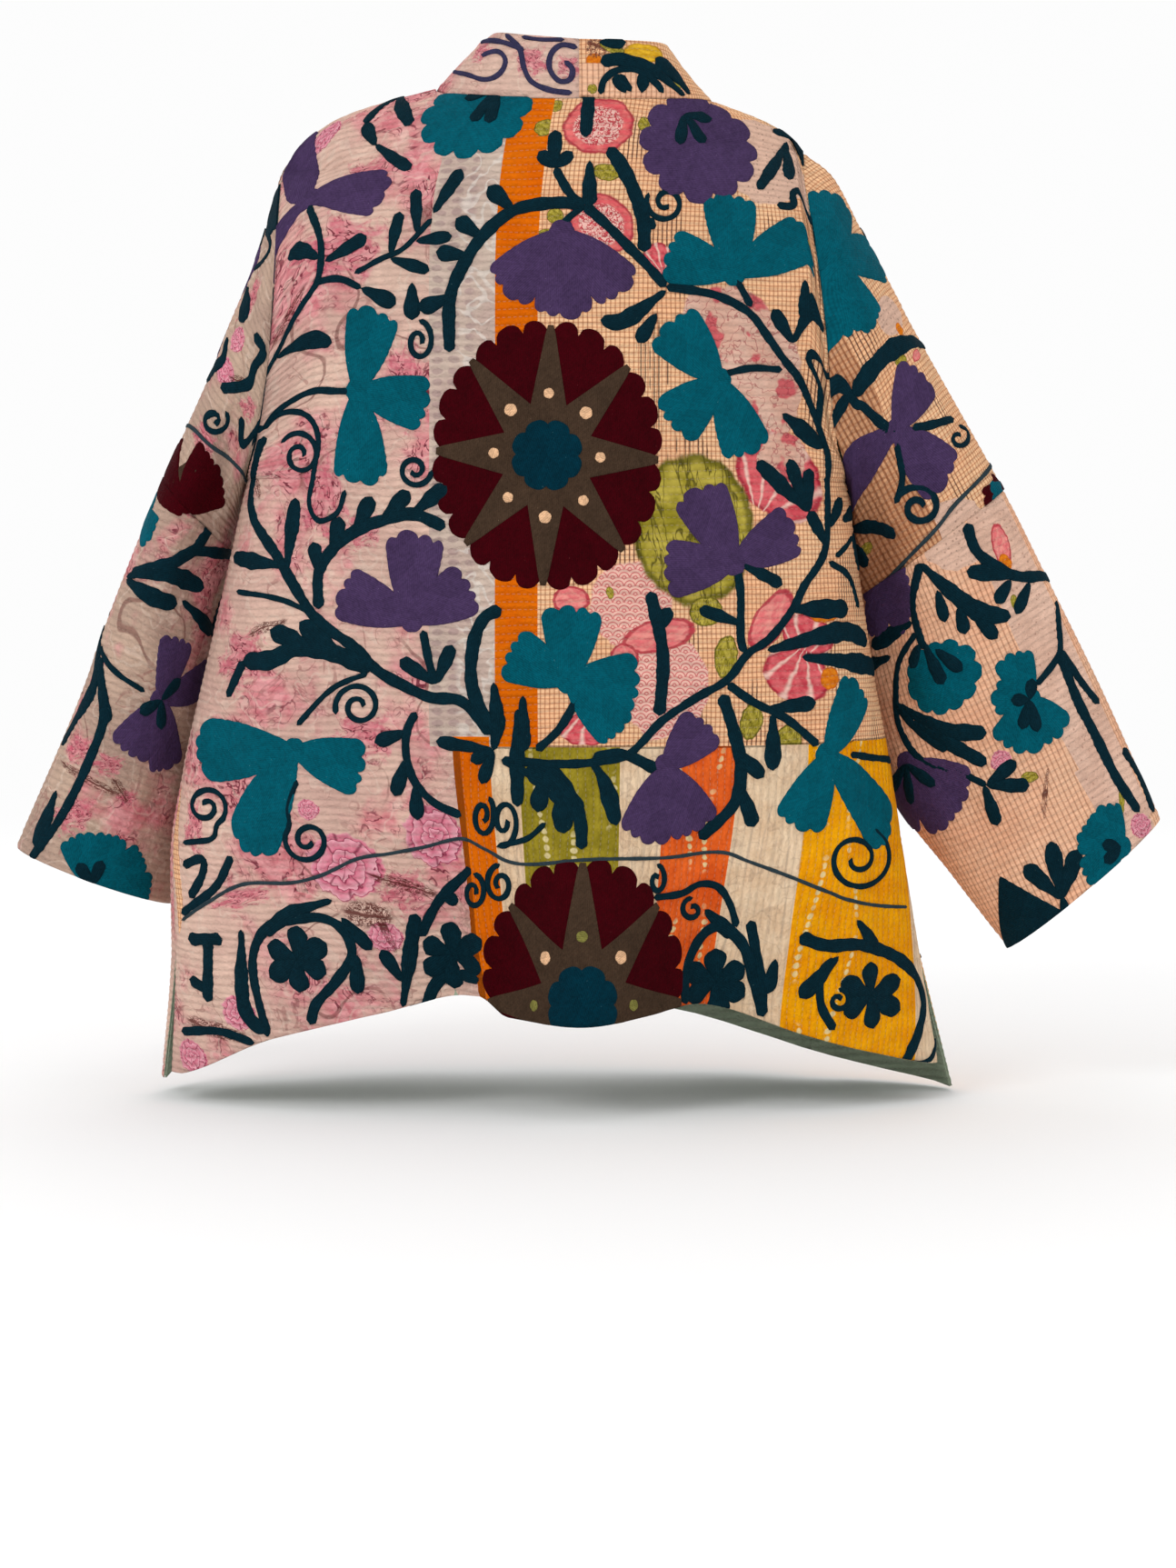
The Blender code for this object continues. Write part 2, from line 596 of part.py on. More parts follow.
def cut_pieces():
    """The grids of all pieces as they hang, the edges that meet in each seam, and the armholes."""
    back = back_grid()
    pieces = {"back": Cloth(back, np.array([0, -1, 0]))}
    seams, loops = [], []
    whole = slice(None)
    slit_to_armpit = slice(SLIT_ROWS, SIDE_ROWS + 1)
    armhole = slice(SIDE_ROWS, None)
    for side in ("left", "right"):
        names = {kind: f"{kind}_{side}" for kind in ("front", "band", "sleeve_upper", "sleeve_lower")}
        front = front_grid(side)
        pieces[names["front"]] = Cloth(front, np.array([0, 1, 0]))
        loop = armhole_loop(back, front, side)
        loops.append(loop)
        sleeve = sleeve_grid(side, loop)
        outward = sleeve - sleeve.mean(axis=1, keepdims=True)
        cut = SLEEVE_RINGS["upper"]
        for kind, rings in (("sleeve_upper", slice(0, cut + 1)), ("sleeve_lower", slice(cut, None))):
            pieces[names[kind]] = Cloth(sleeve[rings], outward[rings], closed=True)
        band = band_grid(side, back, front)
        pieces[names["band"]] = Cloth(band, band_outside(band))

        neck = neck_columns(side)
        shoulder = [neck[-1] + TOWARDS[side] * i for i in range(SHOULDER_COLUMNS + 1)]
        back_side_edge = "first" if side == "left" else "last"
        seams += [
            [("back", back_side_edge, slit_to_armpit), (names["front"], "last", slit_to_armpit)],
            [("back", "top", shoulder), (names["front"], "top", whole)],
            [("back", "top", neck), (names["band"], "first", slice(0, len(neck)))],
            [(names["front"], "first", whole), (names["band"], "first", slice(len(neck) - 1, None))],
            [("back", back_side_edge, armhole), (names["front"], "last", armhole)],
            [(names["sleeve_upper"], "bottom", whole)],
            [(names["sleeve_upper"], "top", whole), (names["sleeve_lower"], "bottom", whole)],
        ]
    seams.append([(f"band_{side}", "bottom", whole) for side in ("left", "right")])
    return pieces, seams, loops


def band_outside(band):
    """Level and away from the middle of the neck, at each point of the band."""
    return unit(band * np.array([1, 1, 0]))


def build():
    pieces, seams, loops = cut_pieces()
    sew(pieces, seams, loops)
    for name, cloth in pieces.items():
        kind = name.removesuffix("_left").removesuffix("_right")
        wall(name, cloth, 0, WALL, kind)
        if kind == "front":
            armhole_x = cloth.grid[SIDE_ROWS:, -1, 0]
            armhole_x -= np.sign(armhole_x) * LINING_TUCK
            start = WALL + SEAM_GAP
            wall(f"lining_{name}", cloth, start, start + LINING, "lining_front")


build()
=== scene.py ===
"""Looks of an open-fronted quilted patchwork jacket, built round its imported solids.

Metres, +Z up. The back faces -Y and the wearer's left is at -X. Each panel is made again as
a fine shell on the surface of its solid, with creases and quilting. Prints are materials in
the cloth's own coordinates, and the embroidery is raised meshes that lie on the shells.
"""

import bpy
import numpy as np
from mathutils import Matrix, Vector
from mathutils.kdtree import KDTree


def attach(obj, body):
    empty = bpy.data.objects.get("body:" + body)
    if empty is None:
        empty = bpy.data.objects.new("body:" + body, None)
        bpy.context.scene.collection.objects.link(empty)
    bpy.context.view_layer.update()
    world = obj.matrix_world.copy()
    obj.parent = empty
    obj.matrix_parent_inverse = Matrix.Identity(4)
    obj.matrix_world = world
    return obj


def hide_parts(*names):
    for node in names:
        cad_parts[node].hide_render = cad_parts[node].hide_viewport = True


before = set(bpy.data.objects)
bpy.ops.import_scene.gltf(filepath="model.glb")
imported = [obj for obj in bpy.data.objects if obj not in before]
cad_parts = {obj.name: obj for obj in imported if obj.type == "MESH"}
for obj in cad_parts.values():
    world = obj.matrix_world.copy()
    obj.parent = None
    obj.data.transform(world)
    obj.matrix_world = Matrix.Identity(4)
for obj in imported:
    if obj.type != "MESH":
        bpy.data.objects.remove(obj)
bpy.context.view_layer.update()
MM = 0.001

# The camera's place, and the photograph's frame at the plane of the jacket's back
EYE = (0.0197, -3.0, -0.33)
BACK_PLANE_Y = -0.105
FRAME_HEIGHT = 1.173
FRAME_MIDDLE_Z = -0.515
SENSOR = 36

# Shells
WALL = 0.0019
LINING = 0.0010
LINING_START = 0.0023
LINING_STEP = 2.5  # points of the front panel for each point of its lining
PITCH = 0.00150  # between rows of points on the outer face
COLUMN_PITCH = 0.0052  # widest step between points along a row
EDGE_ROOM = 0.003  # least width that a row keeps for each border that lies past its end
INNER_STEPS = (4, 2)  # the inner face has every fourth row and every second column
INNER_POINTS = np.s_[:: INNER_STEPS[0], :: INNER_STEPS[1]]
LATTICE = 0.002  # between the points that motifs are placed by
FACING = 0.04  # least share of a normal towards the viewer where motifs are placed
WITHIN = 0.001  # a point at the lattice's far edge is read this much inside it
LEAST_SLOPE = 0.05  # least area in mm2 that a lattice step is seen at, for placing between points

# Points across each panel before they are spread out evenly
BACK_POINTS = 141  # from the centre to one side
FRONT_POINTS = 81
ROUND_POINTS = 161  # round a sleeve, from the underarm and back to it
BAND_POINTS = 13
BAND_PITCH = 0.004  # between the band's stations
BAND_BLUR = 7  # stations over which the band's heading is evened out

# Quilting
STITCH_ROW = 0.0058
QUILT_DEPTH = 0.00046
SEAM_DEPTH = 0.0008
SEAM_REACH = 0.0022
SEAM_HOLD = 0.012  # creases die out this far from a seam
HEM_ROW = 0.010  # how far from an edge its second row of stitches lies
HEM_ROW_SHARE = 0.5
SEAM_LIMIT = 1.3  # most that grooves deepen where they meet
CREASE_PITCH = 0.006
CREASE_SPAN = 2.5  # reaches of a crease over which it is worked out
CREASE_FADE = 0.7
BATIK_TOP = -0.201  # v where the batik stripes of the back begin
BATIK_SIDE = -83 * MM  # u where they begin
# How hand-sewn rows wander: the height of a broad wave and its two lengths, then of a fine one
ROW_SWAY = (0.0011, 0.031, 0.11, 0.0007, 0.013)
COLUMN_SWAY = (0.0010, 0.027, 0.09, 0.0006, 0.012)
SWAY_CROSS = 0.02  # the fine wave's length across the rows

# Prints
RUNNING_STITCH = 0.0042
STITCH_COLOUR = (226, 206, 190)
CLOTH_TONE = 0.73  # how light the cloth's colours are where it has faded least
SHAPE_REACH = 1.25  # how far past its outline a printed shape can stray, as a share of its size
SHAPE_MARGIN = 0.005

# Embroidery
CHAIN_ROW = 0.0015
CHAIN_LINK = 0.0032
STROKE_PITCH = 0.0025
STROKE_END = 0.06  # least share of its width that a stroke keeps at its ends
LEAF_WIDTHS = (0.40, 1.20, 0.80)  # of a leaf at its foot, in full and at its tip, as shares of its width
LEAF_BENDS = (0.60, 0.75)  # shares of its length at which a leaf is full and starts to narrow
SMALLEST_FACE = 2e-8
THREAD_SPREAD = 1.12  # a stitched line is this much wider than it is drawn
# How far each kind of motif stands off the cloth, and the steps between motifs of one kind
LIFTS = {"petal": 0.0008, "hub": 0.0009, "calyx": 0.0016, "disc": 0.0006, "star": 0.0011, "dot": 0.0018}
LIFT_STEP = 0.00003
LIFT_STEPS = 7
CALYX_RISE = 0.0009  # of the dark strokes over a pompon
CALYX_WIDTH = 0.0080
HUB_SIZE = 0.010
BASE = -0.0006  # depth of an embroidered motif's foot under the cloth's face
RIB = np.array([-1, -0.90, -0.55, 0, 0.55, 0.90, 1])
RIB_LIFT = np.array([0, 0.80, 0.97, 1, 0.97, 0.80, 0])
ROW_BEND = 0.0012  # how far a filled motif's rows of stitches sway
ROW_WAVE = 0.009
FILL_RIM = (0, 0.0009, 0.0026)  # how far in from its edge a filled motif's first rings lie
FILL_RING = 0.006  # about how far apart its other rings are
FILL_CENTRE = 0.004  # share of its size at which the innermost ring lies
PETAL_WAIST = 0.004  # half the width of a petal where it leaves the hub
PETAL_BELLY = 0.05
PETAL_MIDDLE = 0.62
STAR_TIP = 0.032  # half the angle that a star's blunt tip takes, in radians
# A rosette's points, and its other sizes as shares of its radius
POINTS = 8
STAR_SIZE = 0.95
STAR_NOTCH = 0.42
DOT_PLACE = 0.45
DOT_SIZE = 0.046
DOT_MORE = 0.008  # that every third dot is larger
MIDDLE_SIZE = 0.27
# A daisy's leaves and the arch over one, in mm from its middle
DAISY = ((0, 25), (22, 12), (22, -11), (2, -25), (-20, -14), (-22, 10))
ARCH = ((35, -30), (40, 5), (18, 36), (-18, 36), (-40, 5), (-36, -30))

# Studio
FLOOR_Z = -0.762
FLOOR_RADIUS = 40
FLOOR_COLOUR = (0.93, 0.93, 0.93, 1)
FLOOR_END = (2.2, 1.4)  # how far out the floor turns into plain white, and how softly
WHITE = (1.0, 1.0, 1.0, 1)
BRIGHTNESS = 0.98
LAMP_AIM = (0.02, 0.0, -0.33)
LAMPS = [
    ("key", (-1.6, -2.4, 1.6), 1.2, 26),
    ("fill", (2.2, -2.2, 0.6), 2.0, 3),
    ("behind", (0.3, 2.8, 1.4), 2.0, 12),
]

# Rows and columns of points
TOWARDS = {"left": -1, "right": 1}  # which way along X each side lies
NECK_SHARE = 0.4  # of half the back's columns, which end at the neckline
COLUMN_EVENNESS = 0.7  # 1 spaces the columns by angle, less evens out their widths

# Body
ARMPIT_Z = -0.286
LEVEL_LOW = -0.620  # below this the rows of points lean towards the hem
LEVEL_HIGH = -0.165  # above this they lean towards the shoulder
ROW_CROWDING = 1.9
LOW_SPAN = 0.095  # length along the cloth of the rows that lean towards the hem
HIGH_SPAN = 0.240
SLIT_TOP_Z = -0.652
SLIT_SPREAD = {"left": 0.010, "right": 0.011}
SLIT_DEPTH = {"back": 0.008, "front": 0.030}
SLIT_HOLD = {"back": 8, "front": 6}
FOLD_HOLD = 8
FRONT_EDGE_HOLD = 0.3
SHOULDER_ROUNDING = 0.115
NECK_ROUNDING = 0.070
NECK_BEND = 1.5
YOKE_HEIGHT = 0.140
SQUARENESS = 0.9
YOKE_FLATNESS = 2.4
YOKE_BLEND = 0.16
ARMHOLE_DEPTH = {"back": 0.064, "front": 0.058}
ARMHOLE_BEND = 2.4
ARMHOLE_FULLNESS = 0.55
ARMPIT_HOLD = 6
FRONT_EDGE_X = 0.060
NECK_DROP = 0.22
BACK_NECK = {"x": 0.013, "y": -0.075, "z": 0.002}


def table(columns, *rows):
    """A short table, one array for each named column."""
    return {name: np.array(values, float) for name, values in zip(columns.split(), zip(*rows))}


# The sizes of the solids: half-width of the body on each side, the angle in degrees from the
# centre back to the side seam, and the depth of the back and of the front
BODY = table(
    "z      left    right   seam_left  seam_right  back   front",
    (-0.76, 0.3060, 0.2950, 80, 86, 0.118, 0.132),
    (-0.66, 0.3030, 0.2780, 80, 88, 0.116, 0.131),
    (-0.58, 0.3040, 0.2650, 82, 88, 0.115, 0.129),
    (-0.51, 0.2940, 0.2545, 85, 90, 0.113, 0.127),
    (-0.43, 0.2765, 0.2405, 88, 90, 0.111, 0.124),
    (-0.36, 0.2605, 0.2300, 90, 90, 0.109, 0.121),
    (ARMPIT_Z, 0.2440, 0.2190, 90, 90, 0.107, 0.117),
    (-0.24, 0.2300, 0.2060, 90, 90, 0.106, 0.114),
    (-0.18, 0.2215, 0.2010, 90, 90, 0.104, 0.110),
    (-0.10, 0.2180, 0.1935, 90, 90, 0.101, 0.105),
    (-0.02, 0.2180, 0.1860, 90, 90, 0.098, 0.100),
    (0.05, 0.2180, 0.1860, 90, 90, 0.098, 0.100),
)

SHOULDER = {
    "left": {"neck_x": -0.098, "neck_z": 0.017, "tip_x": -0.2185, "tip_z": -0.0480, "bend": 0.52},
    "right": {"neck_x": 0.117, "neck_z": 0.007, "tip_x": 0.1860, "tip_z": -0.0310, "bend": 0.35},
}

HEM = {
    "back": table(
        "x      z",
        (-0.303, -0.7400),
        (-0.240, -0.7080),
        (-0.148, -0.6860),
        (-0.070, -0.6730),
        (-0.045, -0.6880),
        (0.015, -0.6900),
        (0.070, -0.6850),
        (0.104, -0.6800),
        (0.190, -0.7030),
        (0.260, -0.7240),
        (0.297, -0.7350),
    ),
    "front": table(
        "x      z",
        (-0.303, -0.7500),
        (-0.220, -0.7230),
        (-0.060, -0.6990),
        (0.060, -0.7060),
        (0.160, -0.7300),
        (0.240, -0.7500),
        (0.297, -0.7580),
    ),
}

# Folds down to the hem: where the crest is, how far its flanks reach, how far it stands
# out at the hem and the height where it ends
FOLDS = {
    "back": table(
        "x       to_left  to_right  height   top",
        (0.015, 0.066, 0.086, 0.046, -0.40),
        (-0.082, 0.060, 0.022, -0.020, -0.45),
        (0.112, 0.028, 0.070, -0.014, -0.47),
        (-0.185, 0.060, 0.055, 0.010, -0.38),
        (0.205, 0.055, 0.050, 0.009, -0.40),
    ),
    "front": table(
        "x       to_left  to_right  height   top",
        (-0.130, 0.070, 0.060, 0.016, -0.36),
        (-0.215, 0.035, 0.040, -0.008, -0.45),
        (0.120, 0.050, 0.075, 0.014, -0.38),
        (0.205, 0.045, 0.035, -0.008, -0.44),
    ),
}

# Each sleeve runs along an outer and an inner rail, from the armhole to the cuff
SLEEVE_SEAM = 0.45
SLEEVES = {
    "left": table(
        "way   outer_x  outer_y  outer_z  inner_x  inner_y  inner_z  half_depth",
        (0.00, -0.2185, 0.000, -0.0480, -0.2440, 0.000, -0.2860, 0.060),
        (0.12, -0.2330, 0.002, -0.0990, -0.2495, 0.014, -0.3000, 0.066),
        (0.28, -0.2640, 0.005, -0.1820, -0.2535, 0.036, -0.3180, 0.070),
        (SLEEVE_SEAM, -0.3095, 0.010, -0.2840, -0.2580, 0.056, -0.3420, 0.070),
        (0.63, -0.3410, 0.018, -0.3580, -0.2710, 0.068, -0.4150, 0.066),
        (0.82, -0.3830, 0.025, -0.4670, -0.2880, 0.070, -0.5200, 0.061),
        (1.00, -0.4280, 0.032, -0.5720, -0.3080, 0.064, -0.6200, 0.056),
    ),
    "right": table(
        "way   outer_x  outer_y  outer_z  inner_x  inner_y  inner_z  half_depth",
        (0.00, 0.1860, 0.000, -0.0310, 0.2190, 0.000, -0.2860, 0.060),
        (0.05, 0.2080, 0.000, -0.0490, 0.2215, 0.006, -0.2930, 0.062),
        (0.12, 0.2330, 0.002, -0.0930, 0.2250, 0.014, -0.3040, 0.064),
        (0.28, 0.2800, 0.006, -0.1816, 0.2255, 0.040, -0.3400, 0.066),
        (SLEEVE_SEAM, 0.3430, 0.015, -0.2929, 0.2290, 0.058, -0.3800, 0.063),
        (0.63, 0.3830, 0.020, -0.3720, 0.2400, 0.062, -0.4620, 0.057),
        (0.78, 0.4180, 0.024, -0.4420, 0.2590, 0.050, -0.5330, 0.051),
        (0.89, 0.4440, 0.027, -0.4980, 0.3050, 0.042, -0.5960, 0.046),
        (1.00, 0.4680, 0.030, -0.5500, 0.3482, 0.035, -0.6520, 0.043),
    ),
}
SLEEVE_FOLDS = {
    "left": table(
        "turn  half_turn  start  end   height",
        (0.30, 0.09, 0.05, 0.75, -0.007),
        (0.70, 0.10, 0.10, 0.80, -0.008),
    ),
    "right": table(
        "turn  half_turn  start  end   height",
        (0.38, 0.08, 0.04, 0.90, -0.010),
        (0.27, 0.07, 0.10, 0.70, 0.006),
        (0.72, 0.10, 0.10, 0.80, -0.008),
    ),
}
SLEEVE_BLEND = 0.30

# Band: its lean from upright and its width, from the centre back (0) to the side of the neck (1)
BAND = {
    "left": table(
        "way  lean  width", (0.00, 12, 0.047), (0.45, 18, 0.053), (0.75, 33, 0.057), (1.00, 43, 0.053)
    ),
    "right": table(
        "way  lean  width", (0.00, 12, 0.047), (0.45, 16, 0.047), (0.75, 32, 0.050), (1.00, 45, 0.052)
    ),
}
FRONT_BAND_WIDTH = 0.046
BAND_SETTLE = 0.13


def even_count(length, pitch=PITCH):
    """How many steps of about this pitch, in whole fours so that the inner face fits."""
    return INNER_STEPS[0] * max(1, round(length / pitch / INNER_STEPS[0]))


def smooth(keys, values, at):
    """A curve through a table's points that never overshoots them."""
    widths = np.diff(keys)
    rises = np.diff(values) / widths
    slopes = np.zeros(len(keys))
    turning = rises[1:] * rises[:-1] <= 0
    total = np.where(turning, 1, rises[1:] + rises[:-1])
    slopes[1:-1] = np.where(turning, 0, 2 * rises[1:] * rises[:-1] / total)
    slopes[0], slopes[-1] = rises[0], rises[-1]
    spot = np.clip(np.searchsorted(keys, at) - 1, 0, len(widths) - 1)
    u = np.clip((at - keys[spot]) / widths[spot], 0, 1)
    start = (1 + 2 * u) * (1 - u) ** 2 * values[spot] + u * (1 - u) ** 2 * widths[spot] * slopes[spot]
    end = u * u * (3 - 2 * u) * values[spot + 1] - u * u * (1 - u) * widths[spot] * slopes[spot + 1]
    return start + end


def step(start, end, at):
    """0 before start, 1 after end, easing in between."""
    u = np.clip((at - start) / (end - start), 0, 1)
    return u * u * (3 - 2 * u)


def mix(first, second, share):
    return first + (second - first) * share


def unit(vectors):
    return vectors / np.maximum(np.linalg.norm(vectors, axis=-1, keepdims=True), 1e-12)


def body(column, z):
    return smooth(BODY["z"], BODY[column], z)


def angle_share(share):
    return COLUMN_EVENNESS * share + (1 - COLUMN_EVENNESS) * share**3


def row_heights(hem, top):
    """Heights of a body panel's rows of points: level but for those near the hem and the shoulder."""
    low = np.linspace(0, 1, even_count(LOW_SPAN), endpoint=False)[:, None]
    middle = np.linspace(LEVEL_LOW, LEVEL_HIGH, even_count(LEVEL_HIGH - LEVEL_LOW), endpoint=False)
    high = np.linspace(1, 0, even_count(HIGH_SPAN) + 1)[:, None]
    return np.concatenate(
        [
            mix(hem, LEVEL_LOW, low),
            np.repeat(middle[:, None], len(hem), axis=1),
            top - (top - LEVEL_HIGH) * high**ROW_CROWDING,
        ]
    )


def slit_share(face, z, hem, across):
    """1 at the foot of the side slit, fading to 0 up the slit and away from the side."""
    slit_top = SLIT_TOP_Z + (hem - hem[-1]) * (ARMPIT_Z - SLIT_TOP_Z) / (ARMPIT_Z - hem[-1])
    return np.clip((slit_top - z) / (slit_top - hem), 0, 1) * across ** SLIT_HOLD[face]


def armhole_depth(face, z, tip_z):
    share = np.clip((z - ARMPIT_Z) / (tip_z - ARMPIT_Z), 0, 1)
    return ARMHOLE_DEPTH[face] * (1 - np.abs(2 * share - 1) ** ARMHOLE_BEND) ** ARMHOLE_FULLNESS


def shoulder_top(side, way):
    """The shoulder seam, from the side of the neck (0) to the tip (1)."""
    ends = SHOULDER[side]
    x = mix(ends["neck_x"], ends["tip_x"], way)
    drop = (1 - ends["bend"]) * way + ends["bend"] * way**5
    return x, 0 * way, mix(ends["neck_z"], ends["tip_z"], drop)


def neck_top(side, way):
    """The back of the neckline, from the centre (0) to the side of the neck (1)."""
    turn = way * np.pi / 2
    x = mix(BACK_NECK["x"], SHOULDER[side]["neck_x"], np.sin(turn))
    z = mix(BACK_NECK["z"], SHOULDER[side]["neck_z"], way**2)
    return x, BACK_NECK["y"] * np.cos(turn), z


def rounding(drop, neck):
    """How far a face has come out to its full depth, this far below its top edge."""
    shoulder = np.sqrt(1 - (1 - np.clip(drop / SHOULDER_ROUNDING, 0, 1)) ** 2)
    collar = 1 - (1 - np.clip(drop / NECK_ROUNDING, 0, 1)) ** NECK_BEND
    return mix(shoulder, collar, neck)


def fold_height(face, x, z, hem):
    """How far the folds of one face stand out at a point."""
    total = 0 * x
    for place, to_left, to_right, height, top in zip(*FOLDS[face].values()):
        reach = np.where(x < place, to_left, to_right)
        crest = np.cos(np.clip((x - place) / reach, -1, 1) * np.pi / 2) ** 2
        total = total + height * crest * step(top, hem, z)
    return total


def back_side(side, across):
    """Half of the back panel, from its centre to one side. Rows run from hem to top."""
    sign = TOWARDS[side]
    on_neck = across <= NECK_SHARE
    neck = neck_top(side, np.minimum(across / NECK_SHARE, 1))
    shoulder = shoulder_top(side, np.clip((across - NECK_SHARE) / (1 - NECK_SHARE), 0, 1))
    top_x, top_y, top_z = (np.where(on_neck, a, b) for a, b in zip(neck, shoulder))
    hem_x = sign * body(side, BODY["z"][0]) * np.sin(np.pi / 2 * angle_share(across))
    hem = smooth(HEM["back"]["x"], HEM["back"]["z"], hem_x)
    z = row_heights(hem, top_z)
    yoke = step(ARMPIT_Z, ARMPIT_Z + YOKE_BLEND, z)
    turn = np.radians(body("seam_" + side, z)) * angle_share(across)
    x = sign * body(side, z) * mix(np.sin(turn), across, yoke)
    crown = mix(np.abs(np.cos(turn)) ** SQUARENESS, 1 - across**YOKE_FLATNESS, yoke)
    edge = armhole_depth("back", z, SHOULDER[side]["tip_z"])
    depth = body("back", z) * crown + edge * (1 - crown) * mix(across**ARMPIT_HOLD, 1, yoke)
    depth = depth + fold_height("back", x, z, hem) * (1 - across**FOLD_HOLD)
    depth = depth + SLIT_DEPTH["back"] * slit_share("back", z, hem, across)
    drop = top_z - z
    x = mix(x, top_x, np.clip(1 - drop / YOKE_HEIGHT, 0, 1) ** 2)
    neckness = 1 - step(NECK_SHARE / 2, NECK_SHARE, across)
    y = mix(top_y, -depth, rounding(drop, neckness))
    return np.stack([x, y, z], axis=-1)


def front_side(side, across):
    """A front panel, from its front edge to the side. Rows run from hem to shoulder."""
    sign = TOWARDS[side]
    top_x, top_y, top_z = shoulder_top(side, across)
    hem_reach = body(side, BODY["z"][0])
    hem_start = np.arcsin(FRONT_EDGE_X / hem_reach)
    hem_x = sign * hem_reach * np.sin(mix(hem_start, np.pi / 2, angle_share(across)))
    hem = smooth(HEM["front"]["x"], HEM["front"]["z"], hem_x)
    z = row_heights(hem, top_z)
    drop = top_z - z
    yoke = step(ARMPIT_Z, ARMPIT_Z + YOKE_BLEND, z)
    reach = body(side, z)
    edge_x = mix(abs(SHOULDER[side]["neck_x"]), FRONT_EDGE_X, step(0, NECK_DROP, drop[:, :1]))
    start = np.arcsin(edge_x / reach)
    turn = mix(start, np.pi - np.radians(body("seam_" + side, z)), angle_share(across))
    level = mix(edge_x / reach, 1, across)
    x = sign * reach * mix(np.sin(turn), level, yoke)
    bend = np.sign(np.cos(turn)) * np.abs(np.cos(turn)) ** SQUARENESS
    crown = mix(bend, 1 - level**YOKE_FLATNESS, yoke)
    edge = armhole_depth("front", z, SHOULDER[side]["tip_z"])
    depth = np.where(crown >= 0, body("front", z), body("back", z)) * crown
    depth = depth + edge * (1 - crown) * mix(across**ARMPIT_HOLD, 1, yoke)
    folds = fold_height("front", x, z, hem) * (1 - across**FOLD_HOLD)
    slit = slit_share("front", z, hem, across)
    depth = depth + folds * step(0, FRONT_EDGE_HOLD, across) + SLIT_DEPTH["front"] * slit
    x = x + sign * SLIT_SPREAD[side] * slit
    x = mix(x, top_x, np.clip(1 - drop / YOKE_HEIGHT, 0, 1) ** 2)
    y = mix(top_y, depth, rounding(drop, 0))
    return np.stack([x, y, z], axis=-1)


def sleeve_rings(side, back, front, ways):
    """Rings of points along a sleeve, each from the underarm over the front, top and back."""
    rails = SLEEVES[side]
    back_edge = back[:, 0 if side == "left" else -1]
    edges = [edge[edge[:, 2] >= ARMPIT_Z - PITCH / 2] for edge in (back_edge, front[:, -1])]
    loop = np.concatenate([edges[0][::-1], edges[1][1:-1]])
    half = len(edges[0]) - 1
    along = np.concatenate([[0], np.cumsum(np.linalg.norm(np.roll(loop, -1, axis=0) - loop, axis=1))])
    turns = np.where(
        np.arange(len(loop)) <= half,
        along[:-1] / along[half] / 2,
        0.5 + (along[:-1] - along[half]) / (along[-1] - along[half]) / 2,
    )
    even = np.linspace(-0.5, 0.5, ROUND_POINTS)

    def ring_at(way, turn):
        outer, inner = (
            np.array([smooth(rails["way"], rails[f"{rail}_{axis}"], way) for axis in "xyz"])
            for rail in ("outer", "inner")
        )
        angles = 2 * np.pi * turn
        ring = outer + np.outer((1 - np.cos(angles)) / 2, inner - outer)
        ring[:, 1] -= np.sin(angles) * smooth(rails["way"], rails["half_depth"], way)
        return ring, (outer + inner) / 2

    leftover = loop - ring_at(0, turns)[0]
    leftover = np.stack([np.interp(even % 1, turns, leftover[:, k], period=1) for k in range(3)], axis=-1)
    rings = []
    for way in ways:
        ring, middle = ring_at(way, even)
        ring = ring + leftover * (1 - step(0, SLEEVE_BLEND, way))
        outward = unit(ring - middle)
        for turn, half_turn, start, end, height in zip(*SLEEVE_FOLDS[side].values()):
            crest = np.cos(np.clip((even % 1 - turn) / half_turn, -1, 1) * np.pi / 2) ** 2
            swell = np.sin(np.pi * np.clip((way - start) / (end - start), 0, 1)) ** 1.5
            ring = ring + outward * (height * crest * swell)[:, None]
        rings.append(ring)
    return np.array(rings)


def even_curve(points, pitch):
    """Points of a curve, spaced evenly."""
    lengths = np.concatenate([[0], np.cumsum(np.linalg.norm(np.diff(points, axis=0), axis=1))])
    at = np.linspace(0, lengths[-1], max(2, round(lengths[-1] / pitch) + 1))
    return np.stack([np.interp(at, lengths, points[:, k]) for k in range(points.shape[1])], axis=-1), at


